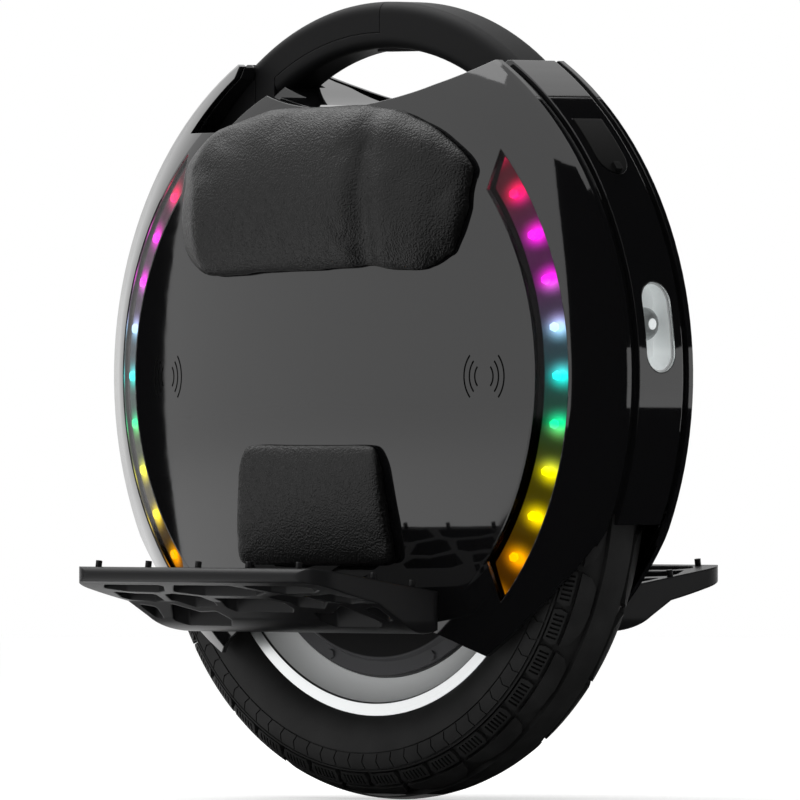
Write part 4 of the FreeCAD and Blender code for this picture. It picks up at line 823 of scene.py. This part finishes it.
fill_in(tree, leather, {"Specular IOR Level": 0.34},
        {"Base Color": shade.outputs["Color"], "Roughness": soft.outputs[0],
         "Normal": relief.outputs["Normal"]})
for node in ("left_upper_pad", "right_upper_pad", "left_lower_pad", "right_lower_pad"):
    pad = padded_cover(node, f"{node}_leather")
    dress(material, pad)
    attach(pad, "shell")
    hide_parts(node)

# Sound signs: two generic wave pictograms printed in flat black ink on each cover, over the
# speakers behind.
SIGN_PLACES = (0.149, -0.149)
SIGN_HEIGHT = 0.2818
SIGN_RADII = (0.0083, 0.0136, 0.0189)
SIGN_SPREAD = 47
SIGN_STEPS = 96
SIGN_LINE = 0.0012
SIGN_SQUEEZE = 0.81
SIGN_START = 0.12
SIGN_LIFT = 0.00012


def sign_arc(side, centre, radius, facing):
    """One upright arc of a sign, still clear of its cover, on one side of a centre."""
    bpy.ops.object.select_all(action="DESELECT")
    bpy.ops.mesh.primitive_circle_add(vertices=SIGN_STEPS, radius=radius)
    arc = bpy.context.object
    delete_where(arc, "VERT",
                 lambda vertex: abs((turn_of(vertex) - facing + 180) % 360 - 180) > SIGN_SPREAD)
    edit_all()
    grow = (radius + SIGN_LINE) / radius
    bpy.ops.mesh.extrude_region_move()
    bpy.ops.transform.resize(value=(grow, grow, grow), center_override=(0, 0, 0))
    bpy.ops.object.mode_set(mode="OBJECT")
    for vertex in arc.data.vertices:
        x, y, _ = vertex.co
        vertex.co = (centre + x * SIGN_SQUEEZE, side * SIGN_START, SIGN_HEIGHT + y)
    return arc


# printing ink: dead flat black, uneven over 0.4 mm
material, tree, ink = start_material("flat_black_ink")
place = add_node(tree, "TexCoord", {}).outputs["Object"]
speck = add_node(tree, "TexNoise", {"Scale": 2500.0}, {"Vector": place})
soft = add_node(tree, "MapRange", {"To Min": 0.7, "To Max": 0.85}, {"Value": speck.outputs["Fac"]})
fill_in(tree, ink, {"Base Color": linear("#050505"), "Specular IOR Level": 0.05},
        {"Roughness": soft.outputs[0]})
for side, cover in ((-1, "right_cover"), (1, "left_cover")):
    arcs = [sign_arc(side, centre, radius, facing)
            for centre in SIGN_PLACES for radius in SIGN_RADII for facing in (0, 180)]
    sign = join(arcs, f"{cover}_sound_signs")
    apply_modifier(sign, "SHRINKWRAP", target=nodes[cover], wrap_method="PROJECT",
                   use_project_y=True, use_negative_direction=True, use_positive_direction=True,
                   wrap_mode="ABOVE_SURFACE", offset=SIGN_LIFT)
    edit_all()
    bpy.ops.mesh.normals_make_consistent(inside=False)
    bpy.ops.object.mode_set(mode="OBJECT")
    if sum(face.normal.y for face in sign.data.polygons) * side < 0:
        sign.data.flip_normals()
    dress(material, sign)
    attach(sign, "shell")

# Lamps: clear moulded lenses glued into the centre band, over bright cups with a round white
# diode. The rear lens is red.
BULB_CORE = 0.0034
BULB_BLUR = 0.0006

# clear polycarbonate: water clear and glossy, with a moulded peel of about 5 mm
material, tree, clear = start_material("clear_polycarbonate")
place = add_node(tree, "TexCoord", {}).outputs["Object"]
peel = add_node(tree, "TexNoise", {"Scale": 200.0}, {"Vector": place})
soft = add_node(tree, "MapRange", {"To Min": 0.02, "To Max": 0.06}, {"Value": peel.outputs["Fac"]})
fill_in(tree, clear, {"Base Color": linear("#fbfcfc"), "Transmission Weight": 1.0, "IOR": 1.3},
        {"Roughness": soft.outputs[0]})
dress(material, "headlight_lens")

# red polycarbonate: deep red and see-through, with level ribs 5 mm apart
material, tree, red = start_material("red_polycarbonate")
place = add_node(tree, "TexCoord", {}).outputs["Object"]
ribs = add_node(tree, "TexWave", {"Scale": 60.0, "bands_direction": "Z"}, {"Vector": place})
relief = add_node(tree, "Bump", {"Strength": 0.2, "Distance": 0.0004},
                  {"Height": ribs.outputs["Fac"]})
fill_in(tree, red, {"Base Color": linear("#d01818"), "Roughness": 0.08, "Transmission Weight": 0.9},
        {"Normal": relief.outputs["Normal"]})
dress(material, "tail_light_lens")

# metallised plastic: a pale, misted silver whose painted glow in its emission stands in for the
# diode's light that it passes on
material, tree, bright = start_material("metallised_reflector")
place = add_node(tree, "TexCoord", {}).outputs["Object"]
mist = add_node(tree, "TexNoise", {"Scale": 400.0}, {"Vector": place})
soft = add_node(tree, "MapRange", {"To Min": 0.25, "To Max": 0.4}, {"Value": mist.outputs["Fac"]})
fill_in(tree, bright, {"Base Color": linear("#f4f6f6"), "Metallic": 0.1,
                       "Emission Color": linear("#eef2f2"), "Emission Strength": 0.24},
        {"Roughness": soft.outputs[0]})
dress(material, "headlight_cup", "tail_light_cup")

# frosted diode: its core glows white inside a grey collar
material, tree, frost = start_material("frosted_diode")
place = add_node(tree, "TexCoord", {}).outputs["Object"]
mist = add_node(tree, "TexNoise", {"Scale": 500.0}, {"Vector": place})
soft = add_node(tree, "MapRange", {"To Min": 0.2, "To Max": 0.35}, {"Value": mist.outputs["Fac"]})
low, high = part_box("headlight_bulb")
core = add_node(tree, "MapRange", {"From Min": BULB_CORE, "From Max": BULB_CORE + BULB_BLUR,
                                   "To Min": 0.8, "To Max": 0.04},
                {"Value": distance_from_line(tree, "x", (low.z + high.z) / 2)})
fill_in(tree, frost, {"Base Color": linear("#b4b8b8"), "Emission Color": linear("#f2f6f6")},
        {"Roughness": soft.outputs[0], "Emission Strength": core.outputs[0]})
dress(material, "headlight_bulb", "tail_light_bulb")

# Charging port and speakers: a soft black rubber flap, hinged at one end, over a moulded socket in
# the centre band, and the speakers' cones behind the covers.

# soft rubber: dull black, its skin drawn 0.8 mm wide so that it shows
material, tree, soft_rubber = start_material("soft_black_rubber")
place = add_node(tree, "TexCoord", {}).outputs["Object"]
skin = add_node(tree, "TexNoise", {"Scale": 1300.0, "Detail": 2.0}, {"Vector": place})
edges = add_node(tree, "Bevel", {"samples": 4, "Radius": 0.0008})
relief = add_node(tree, "Bump", {"Strength": 0.1, "Distance": 0.0002},
                  {"Height": skin.outputs["Fac"], "Normal": edges.outputs["Normal"]})
fill_in(tree, soft_rubber,
        {"Base Color": linear("#0a0a0a"), "Specular IOR Level": 0.15, "Roughness": 0.5},
        {"Normal": relief.outputs["Normal"]})
dress(material, "charge_flap", "charge_socket", "left_speaker", "right_speaker")

# Electronics inside the covers: battery packs wrapped in shrunk sleeves, held on both sides of the
# wheel, and a lacquered control board screwed to its heat sink.

# shrink wrap: glossy blue film with creases about 8 mm apart
material, tree, wrap = start_material("shrink_wrap")
place = add_node(tree, "TexCoord", {}).outputs["Object"]
crinkle = add_node(tree, "TexNoise", {"Scale": 120.0, "Detail": 3.0}, {"Vector": place})
relief = add_node(tree, "Bump", {"Strength": 0.3, "Distance": 0.0006},
                  {"Height": crinkle.outputs["Fac"]})
fill_in(tree, wrap, {"Base Color": linear("#2b4a8a"), "Roughness": 0.35},
        {"Normal": relief.outputs["Normal"]})
dress(material, "left_battery", "right_battery")

# solder mask: dark green lacquer, raised over tracks and pads about 3 mm long
material, tree, mask = start_material("solder_mask")
place = add_node(tree, "TexCoord", {}).outputs["Object"]
tracks = add_node(tree, "TexBrick", {"Scale": 160.0}, {"Vector": place})
relief = add_node(tree, "Bump", {"Strength": 0.2, "Distance": 0.0003},
                  {"Height": tracks.outputs["Fac"]})
fill_in(tree, mask, {"Base Color": linear("#1d3a26"), "Roughness": 0.4},
        {"Normal": relief.outputs["Normal"]})
dress(material, "control_board")

low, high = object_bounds()
